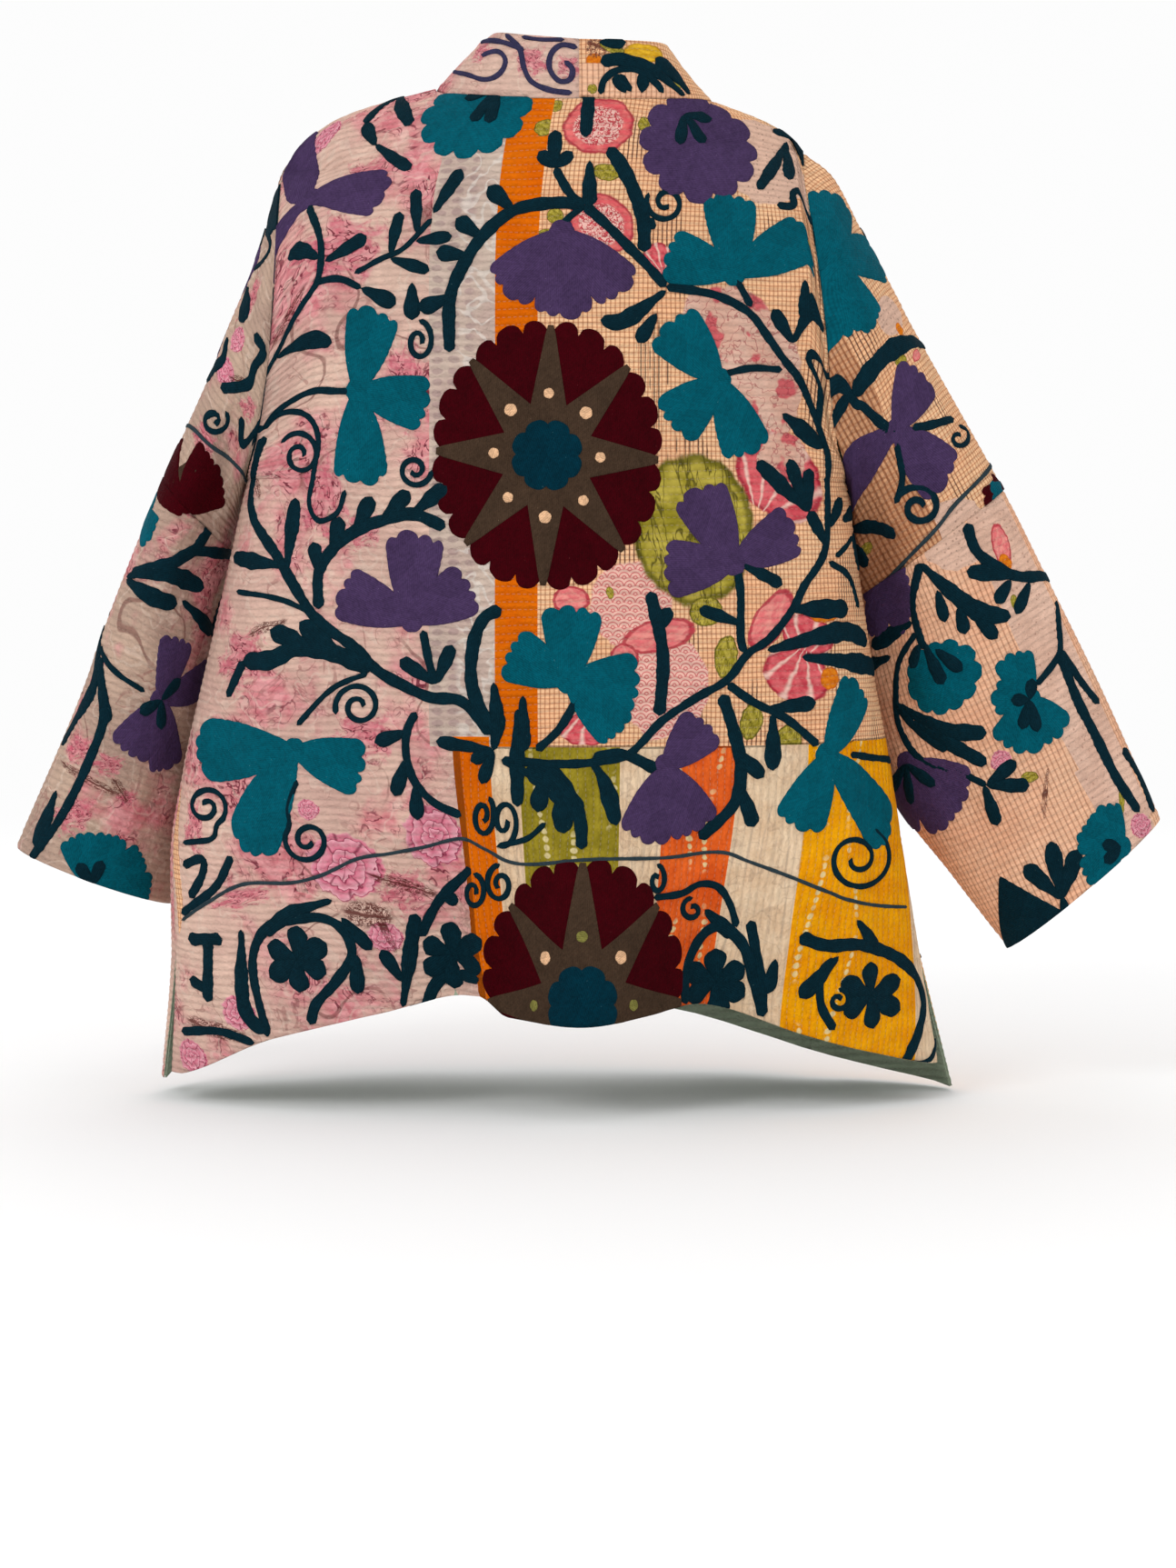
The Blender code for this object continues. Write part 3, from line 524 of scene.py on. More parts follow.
def band_strip(side, back_half, front):
    """Half of the band: stations along the neck and down the front edge, points across it."""
    sign = TOWARDS[side]
    neck = back_half[-1][: int(NECK_SHARE * (back_half.shape[1] - 1)) + 1]
    neck = even_curve(neck, BAND_PITCH)[0]
    chest = unit(front[::-1, 0] - front[::-1, 3])
    edge, at = even_curve(np.concatenate([front[::-1, 0], chest], axis=-1), BAND_PITCH)
    chest = unit(edge[:, 3:])
    base = np.concatenate([neck, edge[1:, :3]])
    heading = unit(np.gradient(base, axis=0))
    blur = np.ones(BAND_BLUR) / BAND_BLUR
    padded = np.pad(heading, ((BAND_BLUR // 2, BAND_BLUR // 2), (0, 0)), mode="edge")
    heading = unit(np.stack([np.convolve(padded[:, k], blur, "valid") for k in range(3)], axis=-1))
    heading[0] = (sign, 0, 0)
    away = unit(np.stack([sign * heading[:, 1], -sign * heading[:, 0], 0 * base[:, 2]], axis=-1))
    way = np.minimum(np.arange(len(base)) / (len(neck) - 1), 1)
    lean = np.radians(smooth(BAND[side]["way"], BAND[side]["lean"], way))[:, None]
    standing = np.cos(lean) * np.array([0, 0, 1.0]) - np.sin(lean) * away
    flat = np.concatenate([standing[: len(neck) - 1], chest])
    lying = np.concatenate([np.zeros(len(neck) - 1), step(0, BAND_SETTLE, at)])[:, None]
    cross = mix(standing, flat, lying)
    cross = unit(cross - heading * np.sum(cross * heading, axis=-1, keepdims=True))
    width = mix(smooth(BAND[side]["way"], BAND[side]["width"], way), FRONT_BAND_WIDTH, lying[:, 0])
    shares = np.linspace(0, 1, BAND_POINTS)
    return base[:, None] + cross[:, None] * (width[:, None] * shares)[..., None]


def lengths_along(grid, axis):
    steps = np.linalg.norm(np.diff(grid, axis=axis), axis=-1)
    start = np.zeros_like(np.take(steps, [0], axis=axis))
    return np.concatenate([start, np.cumsum(steps, axis=axis)], axis=axis)


def resample(rows, keys, targets):
    """Each row of points read again at other lengths along it."""
    out = np.empty((*targets.shape, rows.shape[-1]))
    for i in range(len(rows)):
        for k in range(rows.shape[-1]):
            out[i, :, k] = np.interp(targets[i], keys[i], rows[i, :, k])
    return out


def outside(kind, grid):
    """About which way a panel's outer face looks at each of its points."""
    if kind == "sleeve":
        return grid - grid.mean(axis=1, keepdims=True)
    if kind == "band":
        return unit(grid * np.array([1, 1, 0]))
    return np.array([0, -1 if kind == "back" else 1, 0])


def normals_of(kind, grid):
    """Unit normals, turned so that most point outwards."""
    normals = unit(np.cross(np.gradient(grid, axis=0), np.gradient(grid, axis=1)))
    lean = np.sum(normals * outside(kind, grid), axis=-1)
    return normals if np.median(lean) > 0 else -normals


def column_targets(low, high, borders):
    """Where each row's points lie along it: on every border where the row is wide enough for it."""
    knots = [low]
    for k, border in enumerate(borders):
        room = EDGE_ROOM * (len(borders) - k)
        knots.append(np.minimum(np.maximum(border, low + EDGE_ROOM * (k + 1)), high - room))
    knots.append(high)
    counts = [max(1, round(np.max(b - a) / COLUMN_PITCH)) for a, b in zip(knots, knots[1:])]
    counts[-1] += -sum(counts) % INNER_STEPS[1]
    spans = [mix(a[:, None], b[:, None], np.arange(n) / n) for a, b, n in zip(knots, knots[1:], counts)]
    return np.concatenate([*spans, high[:, None]], axis=1)


def seen(points):
    """Where the camera sees points, in mm on the plane of the jacket's back."""
    scale = (points[..., 1] - EYE[1]) / (BACK_PLANE_Y - EYE[1])
    x = EYE[0] + (points[..., 0] - EYE[0]) / scale
    z = EYE[2] + (points[..., 2] - EYE[2]) / scale
    return np.stack([x, z], axis=-1) / MM


class Panel:
    """One piece of cloth: a grid of points on its outer face, and coordinates in the flat cloth.

    u runs across the cloth and v up it, in metres, from the column zero and the row level. On a
    body panel they are lengths along its rows and columns. A sleeve has an axis: u runs round it,
    from its outer line towards the back, and on a straight one v runs along the axis. The grain of
    its cloth is flat, as seen from behind.
    """

    def __init__(self, name, dense, zero, level, borders=(), axis=None, straight=False):
        self.name = name
        self.kind = name.split("_")[0]
        steps = np.diff(dense, axis=1)
        if axis is None:
            u = lengths_along(dense, 1)
        else:
            off_axis = steps - np.sum(steps * axis, axis=-1, keepdims=True) * axis
            travel = np.cumsum(np.linalg.norm(off_axis, axis=-1), axis=1)
            u = np.concatenate([np.zeros((len(dense), 1)), travel], axis=1)
        u -= u[:, [zero]]
        self.u = column_targets(u[:, 0], u[:, -1], borders)
        self.grid = resample(dense, u, self.u)
        self.normals = normals_of(self.kind, self.grid)
        if straight:
            self.v = (self.grid - self.grid[level].mean(axis=0)) @ axis
        else:
            v = lengths_along(self.grid, 0)
            self.v = v - v[level]
        self.grain = np.stack([self.u, self.v], axis=-1)
        if axis is not None:
            x, z = self.grid[..., 0], self.grid[..., 2]
            self.grain = np.stack([x * axis[2] - z * axis[0], x * axis[0] + z * axis[2]], axis=-1)
        self.relief = np.zeros(self.u.shape)
        self.make_lattice()

    def make_lattice(self):
        """The panel's face read at even steps of u and v, on which motifs are placed."""
        self.corner = np.array([self.u.min(), self.v.min()])
        across = np.arange(self.corner[0], self.u.max() + LATTICE, LATTICE)
        up = np.arange(self.corner[1], self.v.max() + LATTICE, LATTICE)
        face = self.grid + self.normals * self.relief[..., None]
        data = np.concatenate([face, self.normals, self.v[..., None]], axis=-1)
        at = np.repeat(across[None], len(data), axis=0)
        columns = resample(data, self.u, at).swapaxes(0, 1)
        at = np.repeat(up[None], len(across), axis=0)
        field = resample(columns[..., :6], columns[..., 6], at).swapaxes(0, 1)
        self.field = np.concatenate([field[..., :3], unit(field[..., 3:])], axis=-1)
        self.view = {}

    def on(self, flat, lift=0.0):
        """Points on the cloth, lifted off it along its normals. Those past an edge stop at it."""
        spot = (np.asarray(flat) - self.corner) / LATTICE
        last = np.array(self.field.shape[1::-1]) - 1
        spot = np.clip(spot, 0, last - WITHIN)
        cell = spot.astype(int)
        s, t = (spot - cell)[..., 0:1], (spot - cell)[..., 1:2]
        i, j = cell[..., 1], cell[..., 0]
        low = mix(self.field[i, j], self.field[i, j + 1], s)
        high = mix(self.field[i + 1, j], self.field[i + 1, j + 1], s)
        value = mix(low, high, t)
        return value[..., :3] + unit(value[..., 3:]) * np.asarray(lift)[..., None]

    def under(self, spots, face="back"):
        """Cloth coordinates of the points that are seen at these places, in mm from behind or in front."""
        spots = np.asarray(spots, float).reshape(-1, 2)
        if face not in self.view:
            points, normals = self.field[..., :3], self.field[..., 3:]
            if face == "back":
                flat, toward = seen(points), -normals[..., 1]
            else:
                flat, toward = points[..., [0, 2]] / MM, normals[..., 1]
            facing = np.argwhere(toward > FACING)
            tree = KDTree(len(facing))
            for k, (i, j) in enumerate(facing):
                tree.insert((flat[i, j, 0], flat[i, j, 1], 0), k)
            tree.balance()
            self.view[face] = (flat, facing, tree)
        flat, facing, tree = self.view[face]
        found = []
        last = np.array(flat.shape[:2]) - 2
        for spot in spots:
            i, j = np.clip(facing[tree.find((spot[0], spot[1], 0))[1]], 1, last)
            along_u = (flat[i, j + 1] - flat[i, j - 1]) / 2
            along_v = (flat[i + 1, j] - flat[i - 1, j]) / 2
            slope = np.stack([along_u, along_v], axis=1)
            shift = np.zeros(2)
            if abs(np.linalg.det(slope)) > LEAST_SLOPE:
                shift = np.clip(np.linalg.solve(slope, spot - flat[i, j]), -2, 2)
            found.append(self.corner + LATTICE * (np.array([j, i]) + shift))
        return np.array(found)


def make_panels():
    across = np.linspace(0, 1, BACK_POINTS)
    halves = {side: back_side(side, across) for side in TOWARDS}
    back = np.concatenate([halves["left"][:, ::-1], halves["right"][:, 1:]], axis=1)
    centre = BACK_POINTS - 1
    level = int(np.argmin(np.abs(back[:, centre, 2] - ARMPIT_Z)))
    panels = {"back": Panel("back", back, centre, level, BACK_BORDERS)}
    for side, rails in SLEEVES.items():
        front = front_side(side, np.linspace(0, 1, FRONT_POINTS))
        panels[f"front_{side}"] = Panel(f"front_{side}", front, 0, level)
        x, z = rails["outer_x"], rails["outer_z"]
        axis = unit(np.array([x[0] - x[-1], 0, z[0] - z[-1]]))
        for part, start, end, seam in (("upper", 0, SLEEVE_SEAM, 0), ("lower", SLEEVE_SEAM, 1, -1)):
            rail = np.array([smooth(rails["way"], values, np.array([start, end])) for values in (x, z)])
            rows = even_count(np.linalg.norm(rail[:, 1] - rail[:, 0]))
            rings = sleeve_rings(side, back, front, np.linspace(end, start, rows + 1))
            name = f"sleeve_{part}_{side}"
            panels[name] = Panel(name, rings, ROUND_POINTS // 2, seam, axis=axis, straight=part == "lower")
        strip = band_strip(side, halves[side], front).swapaxes(0, 1)
        panels[f"band_{side}"] = Panel(f"band_{side}", strip, 0, 0)
    return panels


# Where the back's cloth changes along its rows, and a few columns between
BACK_BORDERS = MM * np.array([-185, -100, -83, -55, -50, -33, -18, 44, 60, 80, 100, 137, 160, 192, 240, 316])

# Creases of each panel: the face that they are seen on, how far they reach to each side and
# how deep they are (below zero) or how high, in mm, and points along them in seen mm
CREASES = {
    "back": [
        ("back", 16, -3.2, -214, -210, -205, -262, -196, -330, -200, -420),
        ("back", 13, 2.6, -232, -300, -224, -372, -226, -470, -240, -560),
        ("back", 14, -2.4, -262, -400, -256, -480, -262, -560, -274, -640),
        ("back", 18, -2.6, -150, -240, -128, -320, -120, -430, -136, -540),
        ("back", 12, 1.8, -90, -330, -78, -430, -84, -520),
        ("back", 15, -2.2, 190, -190, 176, -270, 170, -360, 182, -460),
        ("back", 13, 2.8, 214, -300, 204, -380, 206, -480, 220, -600),
        ("back", 16, -3.0, 236, -420, 232, -510, 240, -600, 252, -690),
        ("back", 12, 2.0, 150, -400, 148, -500, 156, -600, 168, -690),
        ("back", 14, -2.0, -190, -60, -140, -84, -84, -92),
        ("back", 13, -1.8, 168, -70, 118, -92, 66, -96),
        ("back", 12, 1.7, -205, -120, -150, -150, -96, -158),
        ("back", 15, -1.6, 60, -250, 92, -330, 104, -420, 100, -500),
        ("back", 11, 1.5, -30, -330, -38, -420, -34, -510),
        ("back", 14, 2.6, -292, -640, -250, -618, -196, -610),
        ("back", 12, -2.2, -286, -610, -240, -594, -190, -590),
    ],
    "front_left": [
        ("front", 15, -3.0, -205, -190, -190, -270, -186, -380, -200, -480),
        ("front", 13, 2.4, -160, -250, -140, -360, -136, -480, -150, -620),
        ("front", 16, -2.8, -236, -360, -226, -460, -236, -560, -256, -670),
        ("front", 14, -2.0, -92, -280, -86, -400, -94, -520, -104, -640),
        ("front", 12, 1.8, -190, -90, -150, -130, -110, -150),
        ("front", 11, 2.2, -196, -500, -190, -600, -204, -690),
    ],
    "front_right": [
        ("front", 15, -3.0, 186, -180, 172, -260, 170, -360, 186, -470),
        ("front", 13, 2.6, 142, -260, 130, -370, 132, -500, 148, -650),
        ("front", 16, -2.6, 220, -350, 208, -450, 218, -560, 240, -690),
        ("front", 12, -1.9, 90, -300, 84, -430, 92, -560),
        ("front", 13, 1.9, 162, -84, 134, -120, 92, -138),
        ("front", 11, -2.0, 182, -520, 178, -610, 192, -700),
    ],
    "sleeve_upper_left": [
        ("back", 12, -2.8, -226, -120, -236, -190, -246, -260),
        ("back", 10, 2.4, -244, -140, -258, -210, -274, -270),
        ("back", 11, -2.4, -238, -236, -262, -258, -290, -262),
        ("front", 12, -2.8, -240, -110, -258, -180, -276, -256),
        ("front", 11, 2.4, -228, -180, -238, -240, -252, -290),
    ],
    "sleeve_lower_left": [
        ("back", 12, -2.8, -262, -350, -290, -380, -326, -390),
        ("back", 13, 2.6, -270, -400, -306, -430, -350, -436),
        ("back", 12, -3.0, -284, -460, -300, -520, -322, -580),
        ("back", 11, 2.2, -330, -430, -350, -500, -372, -566),
        ("back", 13, -2.2, -352, -420, -376, -490, -398, -550),
        ("front", 13, -2.8, -288, -370, -320, -430, -350, -520),
        ("front", 12, 2.4, -330, -380, -362, -450, -388, -540),
        ("front", 12, -2.4, -300, -470, -322, -540, -344, -596),
    ],
    "sleeve_upper_right": [
        ("back", 12, -3.0, 205, -160, 214, -220, 226, -290),
        ("back", 10, 2.6, 222, -150, 238, -220, 256, -290),
        ("back", 12, -2.6, 232, -250, 262, -286, 300, -296),
        ("back", 11, 2.2, 236, -300, 270, -330, 316, -326),
        ("back", 10, -2.0, 256, -150, 280, -210, 306, -262),
        ("front", 12, -2.8, 232, -120, 252, -190, 280, -270),
        ("front", 11, 2.4, 214, -190, 232, -260, 252, -330),
    ],
    "sleeve_lower_right": [
        ("back", 13, -3.0, 240, -372, 276, -400, 318, -404),
        ("back", 12, 2.6, 246, -410, 286, -446, 336, -450),
        ("back", 12, -2.8, 262, -470, 298, -520, 330, -580),
        ("back", 11, 2.4, 320, -400, 350, -470, 376, -540),
        ("back", 13, -2.6, 352, -380, 384, -450, 414, -530),
        ("front", 13, -2.8, 290, -380, 330, -450, 366, -540),
        ("front", 12, 2.4, 320, -360, 362, -430, 400, -510),
        ("front", 12, -2.4, 286, -450, 320, -520, 352, -590),
    ],
    "band_left": [("front", 9, -1.6, -38, -320, -36, -380, -40, -440)],
    "band_right": [("front", 9, -1.6, 38, -420, 36, -480, 40, -540)],
}


def crease(panel):
    """Lays the panel's soft troughs and ridges into its relief. They fade out at its seams."""
    flat = np.stack([panel.u, panel.v], axis=-1)
    for face, reach, depth, *spots in CREASES[panel.name]:
        reach = reach * MM
        path, at = curve(panel.under(np.reshape(spots, (-1, 2)), face), CREASE_PITCH)
        low, high = path.min(axis=0) - CREASE_SPAN * reach, path.max(axis=0) + CREASE_SPAN * reach
        near = np.all((flat > low) & (flat < high), axis=-1)
        away = np.linalg.norm(flat[near][:, None] - path[None], axis=-1)
        nearest = np.argmin(away, axis=1)
        fade = np.sin(np.pi * at[nearest] / at[-1]).clip(0) ** CREASE_FADE
        panel.relief[near] += depth * MM * fade * np.exp(-((away.min(axis=1) / reach) ** 2))
    for axis in (0, 1):
        lengths = lengths_along(panel.grid, axis)
        for away in (lengths, np.take(lengths, [-1], axis=axis) - lengths):
            panel.relief *= step(0, SEAM_HOLD, away)
    panel.make_lattice()


def stitch_rows(along, across, sways):
    """Coordinates of sewn rows: metres along each, and a count of the rows, which wander by two waves."""
    broad, length, drift, fine, short = sways
    wander = broad * np.sin(along / length + 3 * np.sin(across / drift))
    wander = wander + fine * np.sin(along / short + across / SWAY_CROSS)
    return np.stack([along, (across + wander) / STITCH_ROW], axis=-1)


def quilt(panel):
    """Stitch coordinates, in rows across the cloth, but down it on the batik of the back."""
    u, v = panel.u, panel.v
    upright = (panel.kind == "back") & (v < BATIK_TOP) & (u > BATIK_SIDE)
    return np.where(upright[..., None], stitch_rows(v, u, COLUMN_SWAY), stitch_rows(u, v, ROW_SWAY))


def seam_groove(panel):
    """How far the outer face dips at the panel's edges, where it is sewn or hemmed."""
    total = 0
    for axis in (0, 1):
        lengths = lengths_along(panel.grid, axis)
        ends = np.take(lengths, [-1], axis=axis)
        for away in (lengths, ends - lengths):
            total = total + np.exp(-((away / SEAM_REACH) ** 2))
            if axis == 0:
                total = total + HEM_ROW_SHARE * np.exp(-(((away - HEM_ROW) / SEAM_REACH) ** 2))
    return -SEAM_DEPTH * np.minimum(total, SEAM_LIMIT)


def uv_layer(mesh, name, values):
    """Gives a mesh a UV map from one pair of numbers for each of its points."""
    corners = np.empty(len(mesh.loops), int)
    mesh.loops.foreach_get("vertex_index", corners)
    layer = mesh.uv_layers.new(name=name)
    layer.data.foreach_set("uv", values[corners].astype(np.float32).ravel())


def dress_faces(piece, layers):
    """Gives a shell its UV maps, for the points of both its faces."""
    for name, values in layers.items():
        every = np.concatenate([values.reshape(-1, 2), values[INNER_POINTS].reshape(-1, 2)])
        uv_layer(piece.data, name, every)


def quads(index):
    """The four-sided faces between the points of a grid, from the points' numbers."""
    return np.stack([index[:-1, :-1], index[:-1, 1:], index[1:, 1:], index[1:, :-1]], axis=-1).reshape(-1, 4)


def make_object(name, points, faces):
    mesh = bpy.data.meshes.new(name)
    mesh.from_pydata(points.tolist(), [], faces)
    mesh.shade_smooth()
    piece = bpy.data.objects.new(name, mesh)
    bpy.context.scene.collection.objects.link(piece)
    return piece


def shell(name, outer, inner, steps):
    """A closed thin shell: a fine outer face, a coarse inner one, and rims that join them.

    steps tells how many rows and columns the outer face has for each of the inner one.
    """
    rows, columns = outer.shape[:2]
    low_rows, low_columns = inner.shape[:2]
    fine = np.arange(rows * columns).reshape(rows, columns)
    coarse = np.arange(low_rows * low_columns).reshape(low_rows, low_columns) + rows * columns

    faces = [*quads(fine).tolist(), *quads(coarse)[:, ::-1].tolist()]
    for edge, low, count in (
        (fine[0], coarse[0], steps[1]),
        (fine[-1][::-1], coarse[-1][::-1], steps[1]),
        (fine[::-1, 0], coarse[::-1, 0], steps[0]),
        (fine[:, -1], coarse[:, -1], steps[0]),
    ):
        edge, low = edge.tolist(), low.tolist()
        half = count // 2
        for k in range(len(low) - 1):
            start = k * count
            for j in range(count):
                faces.append((edge[start + j + 1], edge[start + j], low[k] if j < half else low[k + 1]))
            faces.append((edge[start + half], low[k], low[k + 1]))
    return make_object(name, np.concatenate([outer.reshape(-1, 3), inner.reshape(-1, 3)]), faces)


def dress_panel(panel, groups):
    stitches = quilt(panel)
    rise = -QUILT_DEPTH * (0.5 + 0.5 * np.cos(2 * np.pi * stitches[..., 1])) ** 1.5
    outer = panel.grid + panel.normals * (panel.relief + rise + seam_groove(panel))[..., None]
    inner = (panel.grid + panel.normals * (panel.relief - WALL)[..., None])[INNER_POINTS]
    piece = shell(f"{panel.name}_cloth", outer, inner, INNER_STEPS)
    materials, index = lay_cloth(panel, groups)
    for material in materials:
        piece.data.materials.append(material)
    whole = np.zeros(len(piece.data.polygons), np.int32)
    whole[: len(index)] = index
    piece.data.polygons.foreach_set("material_index", whole)
    flat = np.stack([panel.u, panel.v], axis=-1)
    dress_faces(piece, {"cloth": flat, "quilt": stitches, "grain": panel.grain})
    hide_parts(panel.name)
    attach(piece, "root")
    return piece


def dress_lining(panel):
    """The sage cotton behind a front panel."""
    rows, columns = (
        np.linspace(0, size - 1, even_count(size / LINING_STEP, 1) + 1).round().astype(int)
        for size in panel.u.shape
    )
    pick = np.ix_(rows, columns)
    face = panel.grid[pick] + panel.normals[pick] * (panel.relief[pick][..., None] - LINING_START)
    inner = (face - panel.normals[pick] * LINING)[INNER_POINTS]
    piece = shell(f"lining_{panel.name}_cloth", face, inner, INNER_STEPS)
    piece.data.materials.append(bpy.data.materials["cotton_sage"])
    flat = np.stack([panel.u[pick], panel.v[pick]], axis=-1)
    dress_faces(piece, {"cloth": flat, "quilt": flat * np.array([1, 1 / STITCH_ROW])})
    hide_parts(f"lining_{panel.name}")
    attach(piece, "root")
    return piece


def linear(colour):
    """An sRGB colour of 0 to 255 as the linear RGBA that materials take."""
    share = np.array(colour, float) / 255
    value = np.where(share <= 0.04045, share / 12.92, ((share + 0.055) / 1.055) ** 2.4)
    return (*[float(channel) for channel in value], 1.0)


class Field:
    """A number that a material's nodes work out at each point of a surface."""

    def __init__(self, graph, socket):
        self.graph = graph
        self.socket = socket

    def __add__(self, other):
        return self.graph.math("ADD", self, other)

    def __sub__(self, other):
        return self.graph.math("SUBTRACT", self, other)

    def __mul__(self, other):
        return self.graph.math("MULTIPLY", self, other)

    def __truediv__(self, other):
        return self.graph.math("DIVIDE", self, other)

    def to(self, operation, other=0.0):
        return self.graph.math(operation, self, other)

    def below(self, limit, soft=0.02):
        """1 where the number is less than limit, 0 where it is more."""
        return self.graph.ease(self, limit + soft, limit - soft)

    def above(self, limit, soft=0.02):
        return self.graph.ease(self, limit - soft, limit + soft)

    def near(self, centre, reach, soft=0.02):
        return (self - centre).to("ABSOLUTE").below(reach, soft)

    def stripes(self, pitch, share, soft=0.08):
        """1 on stripes that take this share of each pitch."""
        return (self / pitch).to("FRACT").near(0.5, share / 2, soft)


class Graph:
    """A material that is built node by node."""

    def __init__(self, name):
        self.material = bpy.data.materials.new(name)
        self.material.use_nodes = True
        self.tree = self.material.node_tree
        self.shader = self.tree.nodes["Principled BSDF"]
        self.maps = {}

    def node(self, kind, inputs=(), out=0, **settings):
        node = self.tree.nodes.new("ShaderNode" + kind)
        for key, value in settings.items():
            setattr(node, key, value)
        for key, value in dict(inputs).items():
            self.feed(node.inputs[key], value)
        return Field(self, node.outputs[out])

    def feed(self, socket, value):
        if isinstance(value, Field):
            self.tree.links.new(value.socket, socket)
        elif value is not None:
            socket.default_value = value

    def math(self, operation, a, b=0.0):
        return self.node("Math", {0: a, 1: b}, operation=operation)

    def ease(self, value, start, end):
        inputs = {"Value": value, "From Min": start, "From Max": end}
        return self.node("MapRange", inputs, interpolation_type="SMOOTHSTEP")

    def split(self, vector):
        """The first two numbers of a vector."""
        parts = self.node("SeparateXYZ", {0: vector})
        return parts, Field(self, parts.socket.node.outputs[1])

    def uv(self, name):
        """The two coordinates of a UV map."""
        if name not in self.maps:
            self.maps[name] = self.split(self.node("UVMap", uv_map=name))
        return self.maps[name]

    def spot(self, x, y, z=0.0):
        return self.node("CombineXYZ", {0: x, 1: y, 2: z})

    def use(self, group, *values):
        """Runs a group of nodes on these values and gives its results."""
        node = self.tree.nodes.new("ShaderNodeGroup")
        node.node_tree = group.tree
        for socket, value in zip(node.inputs, values):
            self.feed(socket, value)
        return [Field(self, socket) for socket in node.outputs]

    def place(self, spot, x, y, wide, high, turn=0.0):
        """A point in a printed shape's own coordinates, where its outline is 1 from its middle."""
        inputs = {0: spot, 1: (x, y, 0), 2: (0, 0, turn), 3: (wide, high, 1)}
        return self.node("Mapping", inputs, vector_type="TEXTURE")

    def length(self, vector):
        return self.node("VectorMath", {0: vector}, 1, operation="LENGTH")

    def noise(self, spot, scale, detail=2.0, rough=0.5, bend=0.0):
        inputs = {"Vector": spot, "Scale": scale, "Detail": detail, "Roughness": rough, "Distortion": bend}
        return self.node("TexNoise", inputs)

    def cells(self, spot, scale, feature="F1", out=0, loose=1.0):
        inputs = {"Vector": spot, "Scale": scale, "Randomness": loose}
        return self.node("TexVoronoi", inputs, out, feature=feature)

    def blend(self, share, below, over):
        """One colour over another by a share."""
        node = self.tree.nodes.new("ShaderNodeMix")
        node.data_type = "RGBA"
        self.feed(node.inputs[0], share)
        for socket, value in ((node.inputs[6], below), (node.inputs[7], over)):
            self.feed(socket, linear(value) if isinstance(value, tuple) else value)
        return Field(self, node.outputs[2])

    def shade(self, colour, amount):
        """A colour made darker or lighter: amount is a number near 1."""
        return self.node("VectorMath", {0: colour, 3: amount}, operation="SCALE")

    def bump(self, height, distance, strength=1.0, under=None):
        inputs = {"Height": height, "Distance": distance, "Strength": strength, "Normal": under}
        return self.node("Bump", inputs)

    def matt(self, colour, normal, rough, shine):
        """Gives the material's surface its colour and normal."""
        values = {"Base Color": colour, "Normal": normal, "Roughness": rough, "Specular IOR Level": shine}
        for name, value in values.items():
            self.feed(self.shader.inputs[name], value)
        return self.material


class Group(Graph):
    """Nodes that many materials share. The recipe turns the values taken into those given."""

    def __init__(self, name, recipe, takes, gives):
        self.tree = bpy.data.node_groups.new(name, "ShaderNodeTree")
        self.maps = {}
        for way, kinds in (("INPUT", takes), ("OUTPUT", gives)):
            for kind in kinds:
                self.tree.interface.new_socket(name=kind, in_out=way, socket_type="NodeSocket" + kind)
        taken = self.tree.nodes.new("NodeGroupInput").outputs[: len(takes)]
        given = recipe(self, *[Field(self, socket) for socket in taken])
        end = self.tree.nodes.new("NodeGroupOutput")
        for socket, value in zip(end.inputs, given if isinstance(given, tuple) else (given,)):
            self.feed(socket, value)


def quilted(g, colour):
    """Old quilted cotton over a printed colour: fading, weave, running stitches and puckers, with painted
    shade in the low parts of the puckers and in the grooves of the stitched rows.
    """
    u, v = g.uv("cloth")
    s, t = g.uv("quilt")
    cloth = g.spot(u, v)
    fading = g.noise(cloth, 9.0, 3.0, 0.6)
    grime = g.noise(cloth, 60.0, 4.0, 0.7)
    weave = (u * 5200.0).to("SINE") * (v * 5200.0).to("SINE")
    row = t.to("ROUND")
    off_row = (t - row).to("ABSOLUTE")
    shifted = s / RUNNING_STITCH + (row * 12.9898).to("SINE") * 43.0
    along = (shifted.to("FRACT") - 0.5).to("ABSOLUTE")
    thread = off_row.below(0.06, 0.035) * along.below(0.29, 0.05)
    pucker_and_shade = g.noise(g.spot(s * 140.0, t * 0.9), 1.0, 3.0, 0.6)
    groove_shade = off_row.below(0.10, 0.12) * pucker_and_shade.above(0.5, 0.18)
    colour = g.shade(colour, fading * 0.30 + CLOTH_TONE)
    colour = g.shade(colour, grime * 0.40 + 0.80)
    # painted shade and painted light: darker where the puckers sink, lighter where they rise
    colour = g.shade(colour, pucker_and_shade * 0.44 + 0.78)
    colour = g.shade(colour, weave * 0.035 + 1.0)
    # painted shade in the grooves along the stitched rows, where the puckers stand high
    colour = g.shade(colour, groove_shade * -0.18 + 1.0)
    colour = g.blend(thread * 0.13, colour, STITCH_COLOUR)
    height = (off_row * np.pi).to("SINE") * pucker_and_shade * 1.3 + pucker_and_shade * 1.2 + thread * 0.3
    coarse = g.bump(height, 0.0019, 0.9)
    return colour, g.bump(weave * 0.5 + grime * 0.8, 0.0002, 0.5, coarse)


def cloth_material(name, groups, cloth, shapes=()):
    """Quilted cloth with printed shapes on it, each with its kind and its place in the cloth."""
    g = Graph(name)
    (colour,) = g.use(groups[cloth])
    if shapes:
        (spot,) = g.use(groups["bent"])
    for kind, *size in shapes:
        (colour,) = g.use(groups[kind], colour, g.place(spot, *size))
    colour, normal = g.use(groups["quilted"], colour)
    return g.matt(colour, normal, 0.95, 0.06)


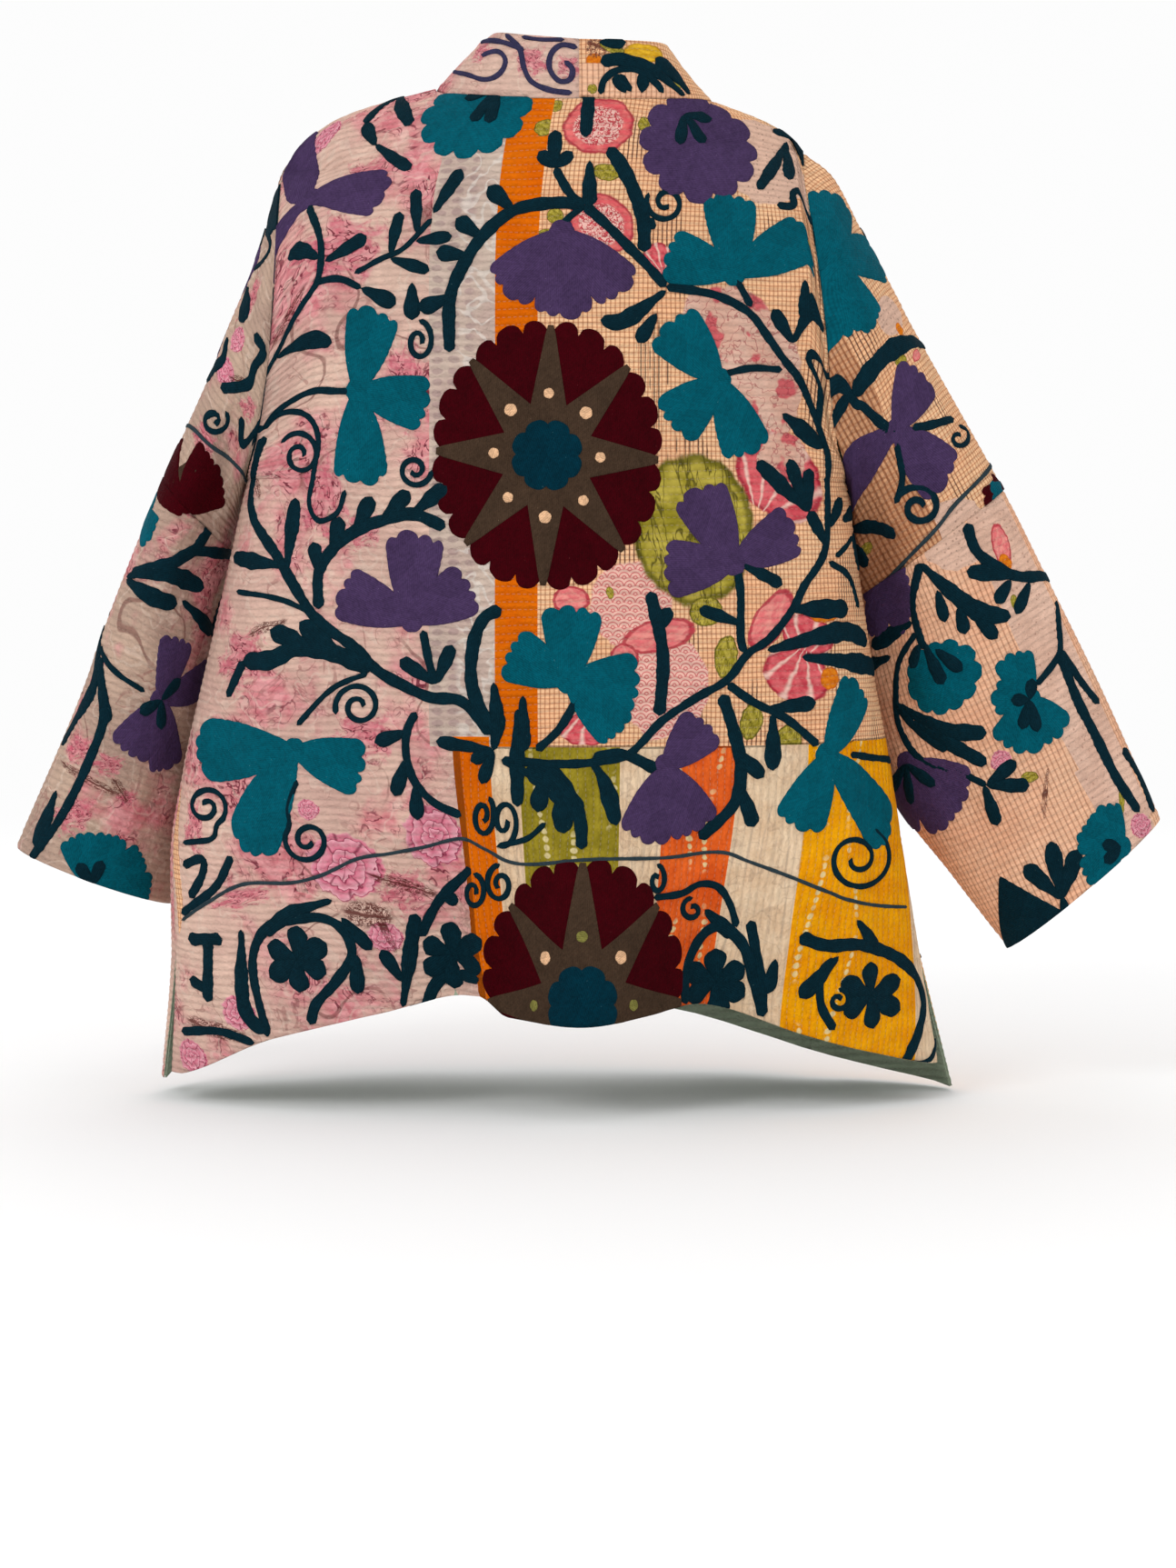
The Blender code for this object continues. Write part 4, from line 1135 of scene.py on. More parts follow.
def bent(g, size, amount, layer="cloth"):
    """Cloth coordinates bent by a soft noise, so that printed shapes look drawn by hand."""
    u, v = g.uv(layer)
    shift_u = g.noise(g.spot(u, v), 1 / size, 2.0) - 0.5
    shift_v = g.noise(g.spot(v, u, 0.37), 1 / size, 2.0) - 0.5
    return u + shift_u * amount, v + shift_v * amount


def lines_of(g, spot, scale, reach, detail=1.0, level=0.5, bend=0.0):
    """Thin wandering lines: where a noise passes a level."""
    return g.noise(spot, scale, detail, 0.5, bend).near(level, reach, reach * 0.4)


def mottled(g, spot, scale, first, second, soft=0.14):
    return g.blend(g.noise(spot, scale, 3.0).above(0.5, soft), first, second)


def print_rose(g, ground=((226, 190, 172), (214, 174, 160)), flowers=0.54):
    """Washes of pink petals with thin maroon lines, and brown twigs, on a dusty pink ground."""
    spot = g.spot(*bent(g, 0.03, 0.012))
    wash = g.noise(spot, 11.0, 4.0, 0.6).above(flowers, 0.07)
    colour = mottled(g, spot, 14.0, *ground)
    tone = g.blend(g.noise(spot, 75.0, 3.0, 0.6, 0.8).above(0.5, 0.16), (204, 84, 108), (236, 152, 160))
    colour = g.blend(wash * 0.74, colour, tone)
    lines = lines_of(g, spot, 52.0, 0.024, 2.0, 0.52, 1.6) * g.noise(spot, 40.0).above(0.47, 0.04)
    colour = g.blend(wash * lines * 0.9, colour, (112, 32, 52))
    faint = lines_of(g, spot, 34.0, 0.010, 2.0, 0.46, 0.8) * g.noise(spot, 16.0).above(0.54, 0.04)
    colour = g.blend(faint * 0.45, colour, (150, 92, 88))
    colour = g.blend(lines_of(g, spot, 26.0, 0.012, 2.0) * 0.30, colour, (232, 210, 192))
    twigs = lines_of(g, spot, 10.0, 0.005) * g.noise(spot, 6.0).above(0.52, 0.04)
    return g.blend(twigs * 0.6, colour, (112, 60, 56))


def print_rose_shaded(g):
    """The rose print with few flowers, its ground painted greyer as painted shade."""
    return print_rose(g, ((200, 170, 150), (184, 154, 138)), 0.575)


def print_damask(g):
    """Lilac grey with columns of mauve spots and whitish scrolls."""
    u, v = bent(g, 0.02, 0.005)
    spot = g.spot(u, v)
    colour = mottled(g, spot, 30.0, (212, 190, 174), (196, 170, 158))
    column = g.place(g.spot((u / 0.0125).to("FRACT"), (v / 0.0085).to("FRACT")), 0.5, 0.5, 0.34, 0.30)
    spots = g.length(column).below(1.0, 0.2) * u.below(-0.066, 0.004)
    colour = g.blend(spots * 0.42, colour, (146, 116, 120))
    scrolls = lines_of(g, spot, 55.0, 0.035, 1.0, 0.5, 0.6) * u.above(-0.078, 0.004)
    return g.blend(scrolls * 0.55, colour, (232, 222, 212))


def print_check(g):
    """Peach with a small woven check of brown lines, crossed by stretches of darker stripes."""
    u, v = g.uv("cloth")
    spot = g.spot(*bent(g, 0.03, 0.0016))
    bent_u, bent_v = g.split(spot)
    colour = mottled(g, spot, 18.0, (255, 208, 162), (250, 194, 148))
    colour = g.blend(bent_v.stripes(0.0037, 0.26) * 0.52, colour, (176, 96, 56))
    upright = bent_u.stripes(0.0035, 0.28)
    colour = g.blend(upright * 0.58, colour, (164, 82, 48))
    dark = g.noise(g.spot(u * 1.0, v * 0.35), 26.0, 1.0).above(0.60, 0.02)
    return g.blend(dark * upright * 0.8, colour, (70, 42, 40))


def print_rib(g):
    """The check's brown cloth, nearly all stripes along the sleeve."""
    spot = g.spot(*bent(g, 0.03, 0.0016, "grain"))
    u, v = g.split(spot)
    colour = mottled(g, spot, 18.0, (224, 168, 126), (206, 148, 108))
    colour = g.blend(v.stripes(0.0058, 0.26) * 0.40, colour, (156, 92, 58))
    return g.blend(u.stripes(0.0040, 0.40) * 0.72, colour, (140, 78, 48))


def print_pinstripe(g):
    spot = g.spot(*bent(g, 0.03, 0.0012))
    u, v = g.split(spot)
    colour = mottled(g, spot, 18.0, (252, 200, 164), (244, 186, 150))
    colour = g.blend(v.stripes(0.0034, 0.26) * 0.16, colour, (176, 112, 76))
    return g.blend(u.stripes(0.0042, 0.28) * 0.54, colour, (156, 92, 64))


def print_speckle(g):
    spot = g.spot(*bent(g, 0.01, 0.002))
    specks = g.cells(spot, 230.0, loose=0.8).below(0.20, 0.05)
    colour = mottled(g, spot, 22.0, (234, 194, 172), (222, 180, 158))
    return g.blend(specks * 0.5, colour, (150, 104, 90))


def batik(g, ground, deep, wax=(232, 214, 158), lanes=()):
    """Wax-resist cotton: a mottled ground with strings of pale beads that sway as they run down.

    Each lane has the place of its middle and how far it sways, in metres.
    """
    u, v = bent(g, 0.03, 0.004)
    spot = g.spot(u, v)
    colour = g.blend(g.noise(spot, 34.0, 4.0, 0.7).above(0.5, 0.16), ground, deep)
    streaks = g.noise(g.spot(u * 6.0, v), 26.0, 3.0).above(0.56, 0.08)
    colour = g.blend(streaks * 0.25, colour, deep)
    worn = g.noise(spot, 24.0, 2.0).above(0.47, 0.06)
    for k, (middle, sway) in enumerate(lanes):
        aside = u - middle - (v * 38.0 + k * 2.1).to("SINE") * sway
        bead = (v / 0.0062 + k * 0.4).to("FRACT") - 0.5
        size = g.noise(g.spot(v, middle), 150.0, 2.0) * 0.0046 - 0.0002
        far = g.length(g.spot(aside / size, bead * 2.7)) + g.noise(spot, 300.0) * 0.5 - 0.25
        colour = g.blend(far.below(1.0, 0.25) * worn * 0.85, colour, wax)
    return colour


def batik_cream(g):
    """Warm cream with faint grey waves and creases of dye."""
    colour = batik(g, (242, 214, 180), (224, 190, 154))
    u, v = bent(g, 0.03, 0.004)
    waves = (u + (v * 60.0).to("SINE") * 0.0024).stripes(0.0105, 0.14, 0.06)
    colour = g.blend(waves * g.noise(g.spot(u, v), 30.0).above(0.52, 0.05) * 0.35, colour, (160, 142, 128))
    return g.blend(lines_of(g, g.spot(u, v), 40.0, 0.010, 2.0) * 0.25, colour, (160, 128, 108))


def plain(g, ground, deep):
    return g.blend(g.noise(g.spot(*g.uv("cloth")), 30.0, 4.0, 0.7).above(0.5, 0.2), ground, deep)


# The recipe of each plain or printed cloth
CLOTHS = {
    "cotton_sage": lambda g: plain(g, (170, 182, 158), (150, 164, 140)),
    "print_rose": print_rose,
    "print_rose_shaded": print_rose_shaded,
    "print_damask": print_damask,
    "plain_orange": lambda g: plain(g, (232, 114, 4), (216, 96, 0)),
    "print_check": print_check,
    "print_rib": print_rib,
    "print_pinstripe": print_pinstripe,
    "print_speckle": print_speckle,
    "batik_olive": lambda g: batik(
        g, (164, 146, 42), (132, 118, 28), lanes=((-0.018, 0.006), (0.012, 0.003), (0.032, 0.008))
    ),
    "batik_cream": batik_cream,
    "batik_flame": lambda g: batik(g, (240, 106, 40), (218, 84, 26), lanes=((0.098, 0.008), (0.121, 0.005))),
    "batik_yellow": lambda g: batik(g, (246, 170, 8), (234, 146, 2), lanes=((0.206, 0.006), (0.238, 0.009))),
}


def wavering(g, local, scale, amount, *noise):
    """How far out a point of a printed shape lies. Its uneven outline is near 1."""
    return g.length(local) + g.noise(local, scale, *noise) * amount - amount / 2


def rose(g, colour, local):
    """A full rose: whorls of petals, deep pink inside each and pale at its rim."""
    a, b = g.split(local)
    angle = b.to("ARCTAN2", a) / (2 * np.pi)
    reach = wavering(g, local, 2.4, 0.7)
    whorl = reach * 3.6 + angle
    fold = whorl.to("FRACT")
    petal = (angle * 5.0 + whorl.to("FLOOR") * 0.38).to("FRACT")
    inside = reach.below(0.95, 0.05)
    colour = g.blend(inside * 0.92, colour, g.blend(fold, (212, 92, 124), (240, 172, 186)))
    lines = fold.below(0.11, 0.06).to("MAXIMUM", petal.near(0.5, 0.035, 0.03))
    return g.blend(inside * lines * 0.75, colour, (124, 34, 62))


def blossom(g, colour, local):
    """Loose pink petals with broken maroon lines."""
    inside = wavering(g, local, 1.7, 2.6, 4.0, 0.65, 0.6).below(0.72, 0.22)
    tone = g.blend(g.noise(local, 2.8, 3.0, 0.6, 0.8).above(0.5, 0.16), (202, 90, 112), (230, 154, 158))
    colour = g.blend(inside * 0.84, colour, tone)
    lines = lines_of(g, local, 1.9, 0.026, 2.0, 0.52, 1.6) * g.noise(local, 3.0).above(0.44, 0.05)
    return g.blend(inside * lines * 0.9, colour, (112, 30, 50))


def filled(g, colour, local, first, second, edge, rim=0.10):
    """A shape with a mottled fill and a darker outline."""
    far = wavering(g, local, 2.0, 0.24)
    inside = far.below(1.0, 0.04)
    fill = g.blend(g.noise(local, 2.6, 3.0).above(0.5, 0.14), first, second)
    fill = g.blend(far.above(1.0 - rim, 0.04) * 0.8, fill, edge)
    return g.blend(inside, colour, fill), inside


def leaf(g, colour, local):
    """Olive, with dark streaks down it."""
    colour, inside = filled(g, colour, local, (192, 174, 74), (146, 134, 38), (96, 90, 26))
    a, b = g.split(local)
    streaks = g.noise(g.spot(a * 4.0, b * 0.8), 1.6, 2.0, 0.5, 0.6).near(0.5, 0.022, 0.02)
    return g.blend(inside * streaks * 0.8, colour, (70, 64, 24))


def fan(g, colour, local):
    """Pink with white veins that spread from its foot."""
    colour, inside = filled(g, colour, local, (228, 108, 112), (206, 70, 82), (162, 36, 54))
    a, b = g.split(local)
    veins = (a.to("ARCTAN2", b + 1.25) * 2.6 + g.noise(local, 1.5) * 0.5).stripes(1.0, 0.20, 0.10)
    return g.blend(inside * veins * 0.85, colour, (246, 208, 192))


def simple(*look):
    """A filled shape with nothing drawn on it."""
    return lambda g, colour, local: filled(g, colour, local, *look)[0]


def paisley(g, colour, local):
    """A thick red rim round a pale middle full of fine red squiggles."""
    colour, inside = filled(g, colour, local, (224, 92, 98), (236, 124, 118), (160, 36, 54), 0.08)
    middle = (g.length(local) + g.noise(local, 2.0) * 0.2).below(0.80, 0.04)
    squiggles = g.noise(local, 7.0, 2.0).near(0.5, 0.045, 0.02)
    fill = g.blend(squiggles, (240, 190, 178), (198, 66, 76))
    return g.blend(inside * middle, colour, fill)


def scales(g, colour, local):
    """Pale pink, filled with rows of fine red scallops."""
    u, v = g.uv("cloth")
    row = v / 0.0062
    aside = (u / 0.0085 + row.to("FLOOR") * 0.5).to("FRACT") - 0.5
    rings = g.length(g.spot(aside * 1.37, row.to("FRACT"))).stripes(0.42, 0.30, 0.10)
    inside = wavering(g, local, 2.0, 0.3).below(1.0, 0.03)
    return g.blend(inside, colour, g.blend(rings * 0.85, (242, 192, 176), (204, 82, 88)))


def smear(g, colour, local):
    """Pale pink with a few red patches and marks."""
    spot = g.spot(*g.uv("cloth"))
    inside = wavering(g, local, 1.6, 0.4).below(1.0, 0.03)
    fill = mottled(g, spot, 30.0, (230, 188, 168), (218, 170, 150))
    fill = g.blend(g.noise(spot, 48.0, 2.0).above(0.60, 0.03) * 0.85, fill, (206, 74, 88))
    fill = g.blend(lines_of(g, spot, 90.0, 0.016, 2.0) * 0.6, fill, (160, 60, 70))
    return g.blend(inside, colour, fill)


def dotted(g, colour, local):
    """Pale pink with tiny grey dots."""
    spot = g.spot(*g.uv("cloth"))
    inside = wavering(g, local, 1.4, 0.4).below(1.0, 0.02)
    fill = g.blend(g.cells(spot, 230.0, loose=0.4).below(0.20, 0.06) * 0.55, (226, 186, 164), (140, 108, 94))
    return g.blend(inside, colour, fill)


def bars(g, colour, local):
    """Dark upright lines of uneven length."""
    u, v = g.uv("cloth")
    lines = u.stripes(0.0034, 0.30) * g.noise(g.spot(u * 4.0, v * 0.4), 60.0).above(0.48, 0.03)
    return g.blend(lines * g.length(local).below(1.0, 0.1) * 0.85, colour, (58, 34, 32))


def twig(g, colour, local):
    """A brown branch with thin crooked side shoots."""
    a, b = g.split(local)
    stem = (b + g.noise(g.spot(a, 0.0), 2.0, 2.0) - 0.5).near(0.0, 0.26, 0.10)
    shoots = lines_of(g, g.spot(a * 3.0, b), 1.6, 0.06, 2.0, 0.5, 1.2)
    inside = g.length(g.spot(a, b * 0.5)).below(1.0, 0.15)
    return g.blend(stem.to("MAXIMUM", shoots) * inside * 0.9, colour, (94, 42, 38))


def checked(g, colour, local):
    return g.blend(g.length(local).below(1.0, 0.03), colour, print_check(g))


DRAWN = (rose, blossom, leaf, fan, paisley, scales, smear, dotted, bars, twig, checked)
SHAPES = {
    **{recipe.__name__: recipe for recipe in DRAWN},
    "petal": simple((232, 116, 118), (240, 152, 142), (176, 40, 58), 0.16),
    "orange": simple((230, 134, 30), (216, 110, 20), (200, 96, 20)),
    "yellow": simple((236, 186, 50), (214, 160, 34), (180, 130, 40)),
}


def make_groups():
    groups = {name: Group(name, recipe, [], ["Color"]) for name, recipe in CLOTHS.items()}
    for name, recipe in SHAPES.items():
        groups[name] = Group(name, recipe, ["Color", "Vector"], ["Color"])
    groups["bent"] = Group("bent", lambda g: g.spot(*bent(g, 0.012, 0.004)), [], ["Vector"])
    groups["quilted"] = Group("quilted", quilted, ["Color"], ["Color", "Vector"])
    return groups


# Printed shapes of each panel: the middle, where it is seen in mm, the half-width and the
# half-height in mm, and the turn in degrees. Later rows lie over earlier ones.
PRINTS = {
    "back": [
        ("dotted", 154, -48, 46, 42, 0),
        ("smear", 136, -189, 56, 36, -45),
        ("smear", 160, -229, 24, 26, 0),
        ("bars", 68, -212, 14, 46, 0),
        ("bars", 96, -290, 20, 40, 0),
        ("paisley", 28, -22, 27, 24, 0),
        ("paisley", 30, -96, 26, 21, -35),
        ("leaf", -13, -24, 8, 7, 0),
        ("leaf", 34, -57, 11, 7, -10),
        ("leaf", -5, -8, 6, 5, 30),
        ("leaf", 62, -21, 5, 6, 0),
        ("leaf", -5, -90, 6, 6, 20),
        ("leaf", -12, -103, 8, 3, 0),
        ("fan", 72, -122, 11, 12, 20),
        ("leaf", 183, -108, 5, 12, 0),
        ("orange", 186, -76, 5, 9, 0),
        ("leaf", 189, -62, 4, 8, 15),
        ("fan", 164, -286, 42, 30, -35),
        ("smear", 166, -272, 22, 20, 0),
        ("scales", 52, -381, 31, 32, 0),
        ("scales", 77, -443, 34, 38, 0),
        ("petal", 7, -377, 14, 10, 0),
        ("petal", 73, -404, 29, 12, 12),
        ("petal", 47, -421, 11, 11, 0),
        ("leaf", 99, -325, 47, 56, 8),
        ("leaf", 108, -386, 13, 11, 0),
        ("petal", 157, -392, 13, 27, -38),
        ("fan", 184, -404, 23, 15, -20),
        ("fan", 176, -434, 29, 20, 160),
        ("orange", 198, -386, 14, 8, 10),
        ("orange", 201, -436, 8, 9, 0),
        ("leaf", 123, -420, 9, 16, -5),
        ("leaf", 142, -468, 9, 14, -10),
        ("leaf", 170, -482, 11, 12, 0),
        ("fan", 19, -474, 21, 12, 180),
        ("leaf", 36, -372, 3, 5, 0),
        ("blossom", -206, -45, 34, 22, 10),
        ("rose", -177, -30, 14, 13, 0),
        ("blossom", -150, -60, 26, 20, 0),
        ("blossom", -165, -112, 40, 30, -20),
        ("blossom", -250, -180, 16, 34, 0),
        ("twig", -205, -165, 20, 2, 40),
        ("blossom", -118, -215, 20, 34, 10),
        ("blossom", -180, -300, 24, 36, 20),
        ("twig", -228, -292, 12, 2, -60),
        ("blossom", -150, -325, 18, 14, 0),
        ("blossom", -240, -420, 28, 26, 0),
        ("twig", -222, -398, 18, 2, 20),
        ("blossom", -150, -480, 30, 22, 0),
        ("blossom", -276, -545, 12, 24, 0),
        ("checked", -289, -566, 6, 62, -3),
        ("rose", -162, -577, 29, 26, 0),
        ("rose", -96, -554, 23, 24, 0),
        ("rose", -190, -534, 9, 8, 0),
        ("blossom", -118, -594, 20, 18, 0),
        ("rose", -132, -630, 14, 12, 0),
        ("blossom", -240, -600, 34, 8, 12),
        ("twig", -118, -591, 26, 2.4, -18),
        ("twig", -145, -613, 18, 5, -6),
        ("twig", -133, -622, 3, 12, 15),
        ("rose", -242, -686, 15, 13, 0),
        ("rose", -277, -719, 15, 13, 0),
        ("twig", -259, -699, 28, 3, -8),
    ],
    "front_left": [
        ("rose", -150, -100, 20, 19, 0),
        ("blossom", -140, -60, 34, 20, 0),
        ("rose", -90, -190, 16, 16, 0),
        ("blossom", -200, -300, 30, 34, 0),
        ("twig", -150, -340, 28, 2.4, 30),
        ("rose", -140, -420, 24, 22, 0),
        ("blossom", -225, -490, 26, 24, 0),
        ("twig", -110, -450, 24, 2.2, -24),
        ("rose", -150, -600, 27, 25, 0),
        ("rose", -90, -615, 17, 16, 0),
        ("twig", -185, -622, 26, 3, 12),
        ("blossom", -255, -690, 24, 20, 0),
    ],
    "front_right": [
        ("paisley", 125, -60, 25, 22, 20),
        ("dotted", 160, -120, 34, 44, 0),
        ("leaf", 92, -140, 9, 14, 10),
        ("smear", 110, -215, 34, 32, 0),
        ("fan", 190, -190, 22, 18, 30),
        ("bars", 170, -310, 18, 46, 0),
        ("leaf", 130, -390, 40, 46, 10),
        ("scales", 200, -350, 30, 34, 0),
        ("petal", 90, -440, 14, 24, -30),
        ("fan", 215, -500, 26, 20, 140),
        ("orange", 84, -395, 10, 9, 0),
        ("leaf", 140, -490, 10, 16, 0),
        ("scales", 110, -580, 34, 26, 0),
        ("petal", 150, -560, 26, 12, 14),
    ],
    "sleeve_upper_left": [
        ("rose", -243, -182, 9, 9, 0),
        ("rose", -252, -206, 11, 10, 0),
        ("blossom", -232, -150, 14, 20, 0),
        ("blossom", -268, -257, 18, 13, 0),
        ("blossom", -234, -234, 10, 10, 0),
        ("twig", -240, -214, 12, 1.6, 30),
    ],
    "sleeve_lower_left": [
        ("blossom", -362, -488, 16, 13, 0),
        ("blossom", -340, -500, 15, 10, 0),
        ("blossom", -365, -537, 17, 18, 0),
        ("blossom", -325, -525, 9, 7, 0),
        ("blossom", -276, -310, 14, 9, 0),
        ("twig", -358, -510, 30, 1.8, -6),
        ("twig", -330, -520, 11, 2, -36),
        ("blossom", -348, -432, 8, 16, 0),
    ],
    "sleeve_upper_right": [
        ("dotted", 246, -164, 18, 15, 0),
        ("dotted", 294, -318, 26, 16, 30),
        ("leaf", 254, -198, 6, 5, 0),
        ("petal", 266, -194, 8, 4, -10),
        ("orange", 253, -175, 4, 6, 0),
        ("leaf", 228, -339, 7, 5, 0),
    ],
    "sleeve_lower_right": [
        ("dotted", 292, -336, 26, 18, 30),
        ("petal", 329, -336, 8, 17, 10),
        ("orange", 332, -349, 5, 6, 0),
        ("leaf", 339, -379, 3, 6, 10),
        ("rose", 329, -498, 9, 9, 0),
        ("leaf", 350, -510, 7, 4, 20),
        ("twig", 362, -522, 2, 11, 30),
        ("rose", 434, -546, 11, 10, 0),
        ("leaf", 419, -528, 2.5, 9, 25),
    ],
    "band_left": [
        ("blossom", -60, 34, 16, 12, 0),
        ("blossom", -22, 26, 16, 14, 0),
        ("blossom", 6, 22, 12, 10, 0),
    ],
    "band_right": [
        ("orange", 24, 26, 6, 6, 0),
        ("twig", 27, 37, 9, 5, -20),
        ("yellow", 62, 32, 18, 8, 0),
        ("leaf", 23, 5, 4, 4, 0),
        ("leaf", 84, 12, 8, 10, 30),
        ("leaf", 38, 36, 10, 4, -20),
    ],
}

# Patches of each panel in mm of its cloth coordinates. Later rows lie over earlier ones.
PATCHES = {
    "back": [
        ("print_check", -400, 400, -600, 400),
        ("print_rose", -400, -100, -600, 400),
        ("print_damask", -100, -50, -201, 400),
        ("plain_orange", -50, -18, -201, 400),
        ("print_rose", -400, -83, -600, -201),
        ("plain_orange", -83, -55, -600, -193),
        ("batik_cream", -55, -33, -600, -201),
        ("batik_olive", -33, 44, -600, -201),
        ("batik_cream", 44, 80, -600, -201),
        ("batik_flame", 80, 137, -600, -201),
        ("batik_cream", 137, 192, -600, -201),
        ("batik_yellow", 192, 316, -600, -201),
        ("batik_cream", 316, 400, -600, -201),
    ],
    "front_left": [
        ("print_rose", -400, 400, -600, 400),
        ("print_damask", -400, 400, -92, -40),
    ],
    "front_right": [
        ("print_check", -400, 400, -600, 400),
        ("print_rose", 0, 400, 60, 130),
        ("batik_cream", 0, 40, -600, -262),
        ("batik_flame", 40, 90, -600, -262),
        ("batik_cream", 90, 130, -600, -262),
        ("batik_yellow", 130, 400, -600, -262),
    ],
    # the left sleeve's rose print is darkened by painted shade
    "sleeve_upper_left": [("print_rose_shaded", -400, 400, -600, 400)],
    "sleeve_lower_left": [("print_rose_shaded", -400, 400, -600, 400)],
    "sleeve_upper_right": [("print_rib", -400, 400, -600, 400), ("print_check", -60, 90, -600, 400)],
    "sleeve_lower_right": [("print_pinstripe", -400, 400, -600, 400), ("print_speckle", 20, 66, -600, 400)],
    "band_left": [("print_rose", -2000, 2000, -600, 400)],
    "band_right": [("print_check", -2000, 2000, -600, 400), ("print_pinstripe", 0, 90, 0, 26)],
}


def lay_cloth(panel, groups):
    """Gives the panel's outer faces their materials, one for each set of shapes that meet there.

    Returns the materials, the lining's first, and the place of each face's own in that list.
    """
    corners = [(a[:-1, :-1], a[1:, :-1], a[:-1, 1:], a[1:, 1:]) for a in (panel.u, panel.v)]
    middle = np.stack([sum(four) / 4 for four in corners], axis=-1)
    names = list(CLOTHS)
    marks = [np.zeros(middle.shape[:2], int)]
    for name, left, right, bottom, top in PATCHES[panel.name]:
        low, high = np.array([left, bottom]) * MM, np.array([right, top]) * MM
        marks[0][np.all((middle > low) & (middle < high), axis=-1)] = names.index(name)
    face = "front" if panel.name.startswith("front") else "back"
    shapes = []
    for kind, x, z, wide, high, turn in PRINTS[panel.name]:
        spot = panel.under((x, z), face)[0]
        away = np.linalg.norm(middle - spot, axis=-1)
        cloth = marks[0].flat[np.argmin(away)]
        marks.append((away < SHAPE_REACH * max(wide, high) * MM + SHAPE_MARGIN) & (marks[0] == cloth))
        shapes.append((kind, *spot, wide * MM, high * MM, np.radians(turn)))
    sets, index = np.unique(np.stack(marks, axis=-1).reshape(-1, len(marks)), axis=0, return_inverse=True)
    materials = [bpy.data.materials["cotton_sage"]]
    for cloth, *here in sets:
        name = names[cloth]
        chosen = [shape for shape, inside in zip(shapes, here) if inside]
        materials.append(cloth_material(f"{name}_{panel.name}", groups, name, chosen))
    return materials, index.ravel() + 1


def dress_thread(name, colour, fleck):
    """Dense chain stitch in matt cotton thread, its rows following each motif's outline, with painted shade
    between its rows and links.
    """
    g = Graph("thread_" + name)
    along, across = g.uv("stitch")
    cloth = g.spot(along, across)
    row = across / CHAIN_ROW
    ridge = (row.to("FRACT") - 0.5).to("ABSOLUTE")
    link = (along / CHAIN_LINK + row.to("FLOOR") * 0.37).to("FRACT")
    loop = (link - 0.5).to("ABSOLUTE")
    wear = g.noise(cloth, 90.0, 3.0, 0.6)
    broad = g.noise(cloth, 18.0, 2.0)
    grain = g.noise(cloth, 330.0, 3.0, 0.65)
    tone = broad * 0.50 + wear * 0.70 + grain * 0.90 - 0.08
    shaded = g.shade(linear(colour)[:3], tone)
    # painted shade and painted light: lighter on the crest of each row and link, darker in the dips between
    # them
    shaded = g.shade(shaded, (ridge * -0.55 + 1.10) * (loop * -0.22 + 1.06))
    gap = g.noise(cloth, 420.0, 2.0, 0.7).above(0.72, 0.03) * g.noise(cloth, 45.0).above(0.56, 0.05)
    shaded = g.blend(gap * 0.55, shaded, fleck)
    height = ridge * -1.0 + loop * -0.5 + grain * 3.6 + wear * 4.0
    return g.matt(shaded, g.bump(height, 0.0006, 0.8), 0.9, 0.05)


# Each thread's colour, and that of what shows through its gaps
THREADS = {
    "teal": ((0, 84, 99), (110, 170, 170)),
    "purple": ((69, 51, 86), (160, 140, 168)),
    "vine": ((6, 36, 46), (90, 120, 120)),
    "maroon": ((58, 0, 7), (150, 70, 70)),
    "star": ((66, 50, 38), (150, 130, 100)),
    "blue": ((0, 43, 57), (90, 140, 150)),
    "peach": ((226, 180, 140), (240, 220, 190)),
    "olive": ((122, 118, 60), (190, 180, 120)),
    "line": ((46, 60, 66), (120, 130, 130)),
    "plum": ((52, 50, 78), (150, 120, 140)),
}


class Stitching:
    """All embroidery of one colour on one panel, gathered into one mesh."""

    def __init__(self, panel, colour):
        self.panel = panel
        self.colour = colour
        self.points, self.faces, self.stitches = [], [], []
        self.count = 0

    def add(self, points, faces, stitches):
        self.points.append(points)
        self.faces.append(faces + self.count)
        self.stitches.append(stitches)
        self.count += len(points)

    def weave(self):
        """Makes the mesh, without the faces that lie folded past an edge of the cloth."""
        points = np.concatenate(self.points)
        faces = np.concatenate(self.faces)
        corners = points[faces]
        areas = np.cross(corners[:, 2] - corners[:, 0], corners[:, 3] - corners[:, 1])
        faces = faces[np.linalg.norm(areas, axis=-1) > SMALLEST_FACE]
        used, faces = np.unique(faces, return_inverse=True)
        name = f"stitch_{self.colour}_{self.panel.name}"
        piece = make_object(name, points[used], faces.reshape(-1, 4).tolist())
        uv_layer(piece.data, "stitch", np.concatenate(self.stitches)[used])
        piece.data.materials.append(bpy.data.materials["thread_" + self.colour])
        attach(piece, "root")
        return piece


def curve(points, pitch):
    """A smooth curve through points, at an even pitch."""
    points = np.asarray(points, float)
    padded = np.concatenate([[2 * points[0] - points[1]], points, [2 * points[-1] - points[-2]]])
    spans = []
    for a, b, c, d in zip(padded, padded[1:], padded[2:], padded[3:]):
        u = np.linspace(0, 1, 12, endpoint=False)[:, None]
        cubic = 2 * b + (c - a) * u + (2 * a - 5 * b + 4 * c - d) * u**2 + (3 * b - a - 3 * c + d) * u**3
        spans.append(cubic / 2)
    path = np.concatenate([*spans, points[-1:]])
    return even_curve(path, pitch)


def strip_faces(rows, columns, closed=False):
    index = np.arange(rows * columns).reshape(rows, columns)
    return quads(np.concatenate([index, index[:, :1]], axis=1) if closed else index)


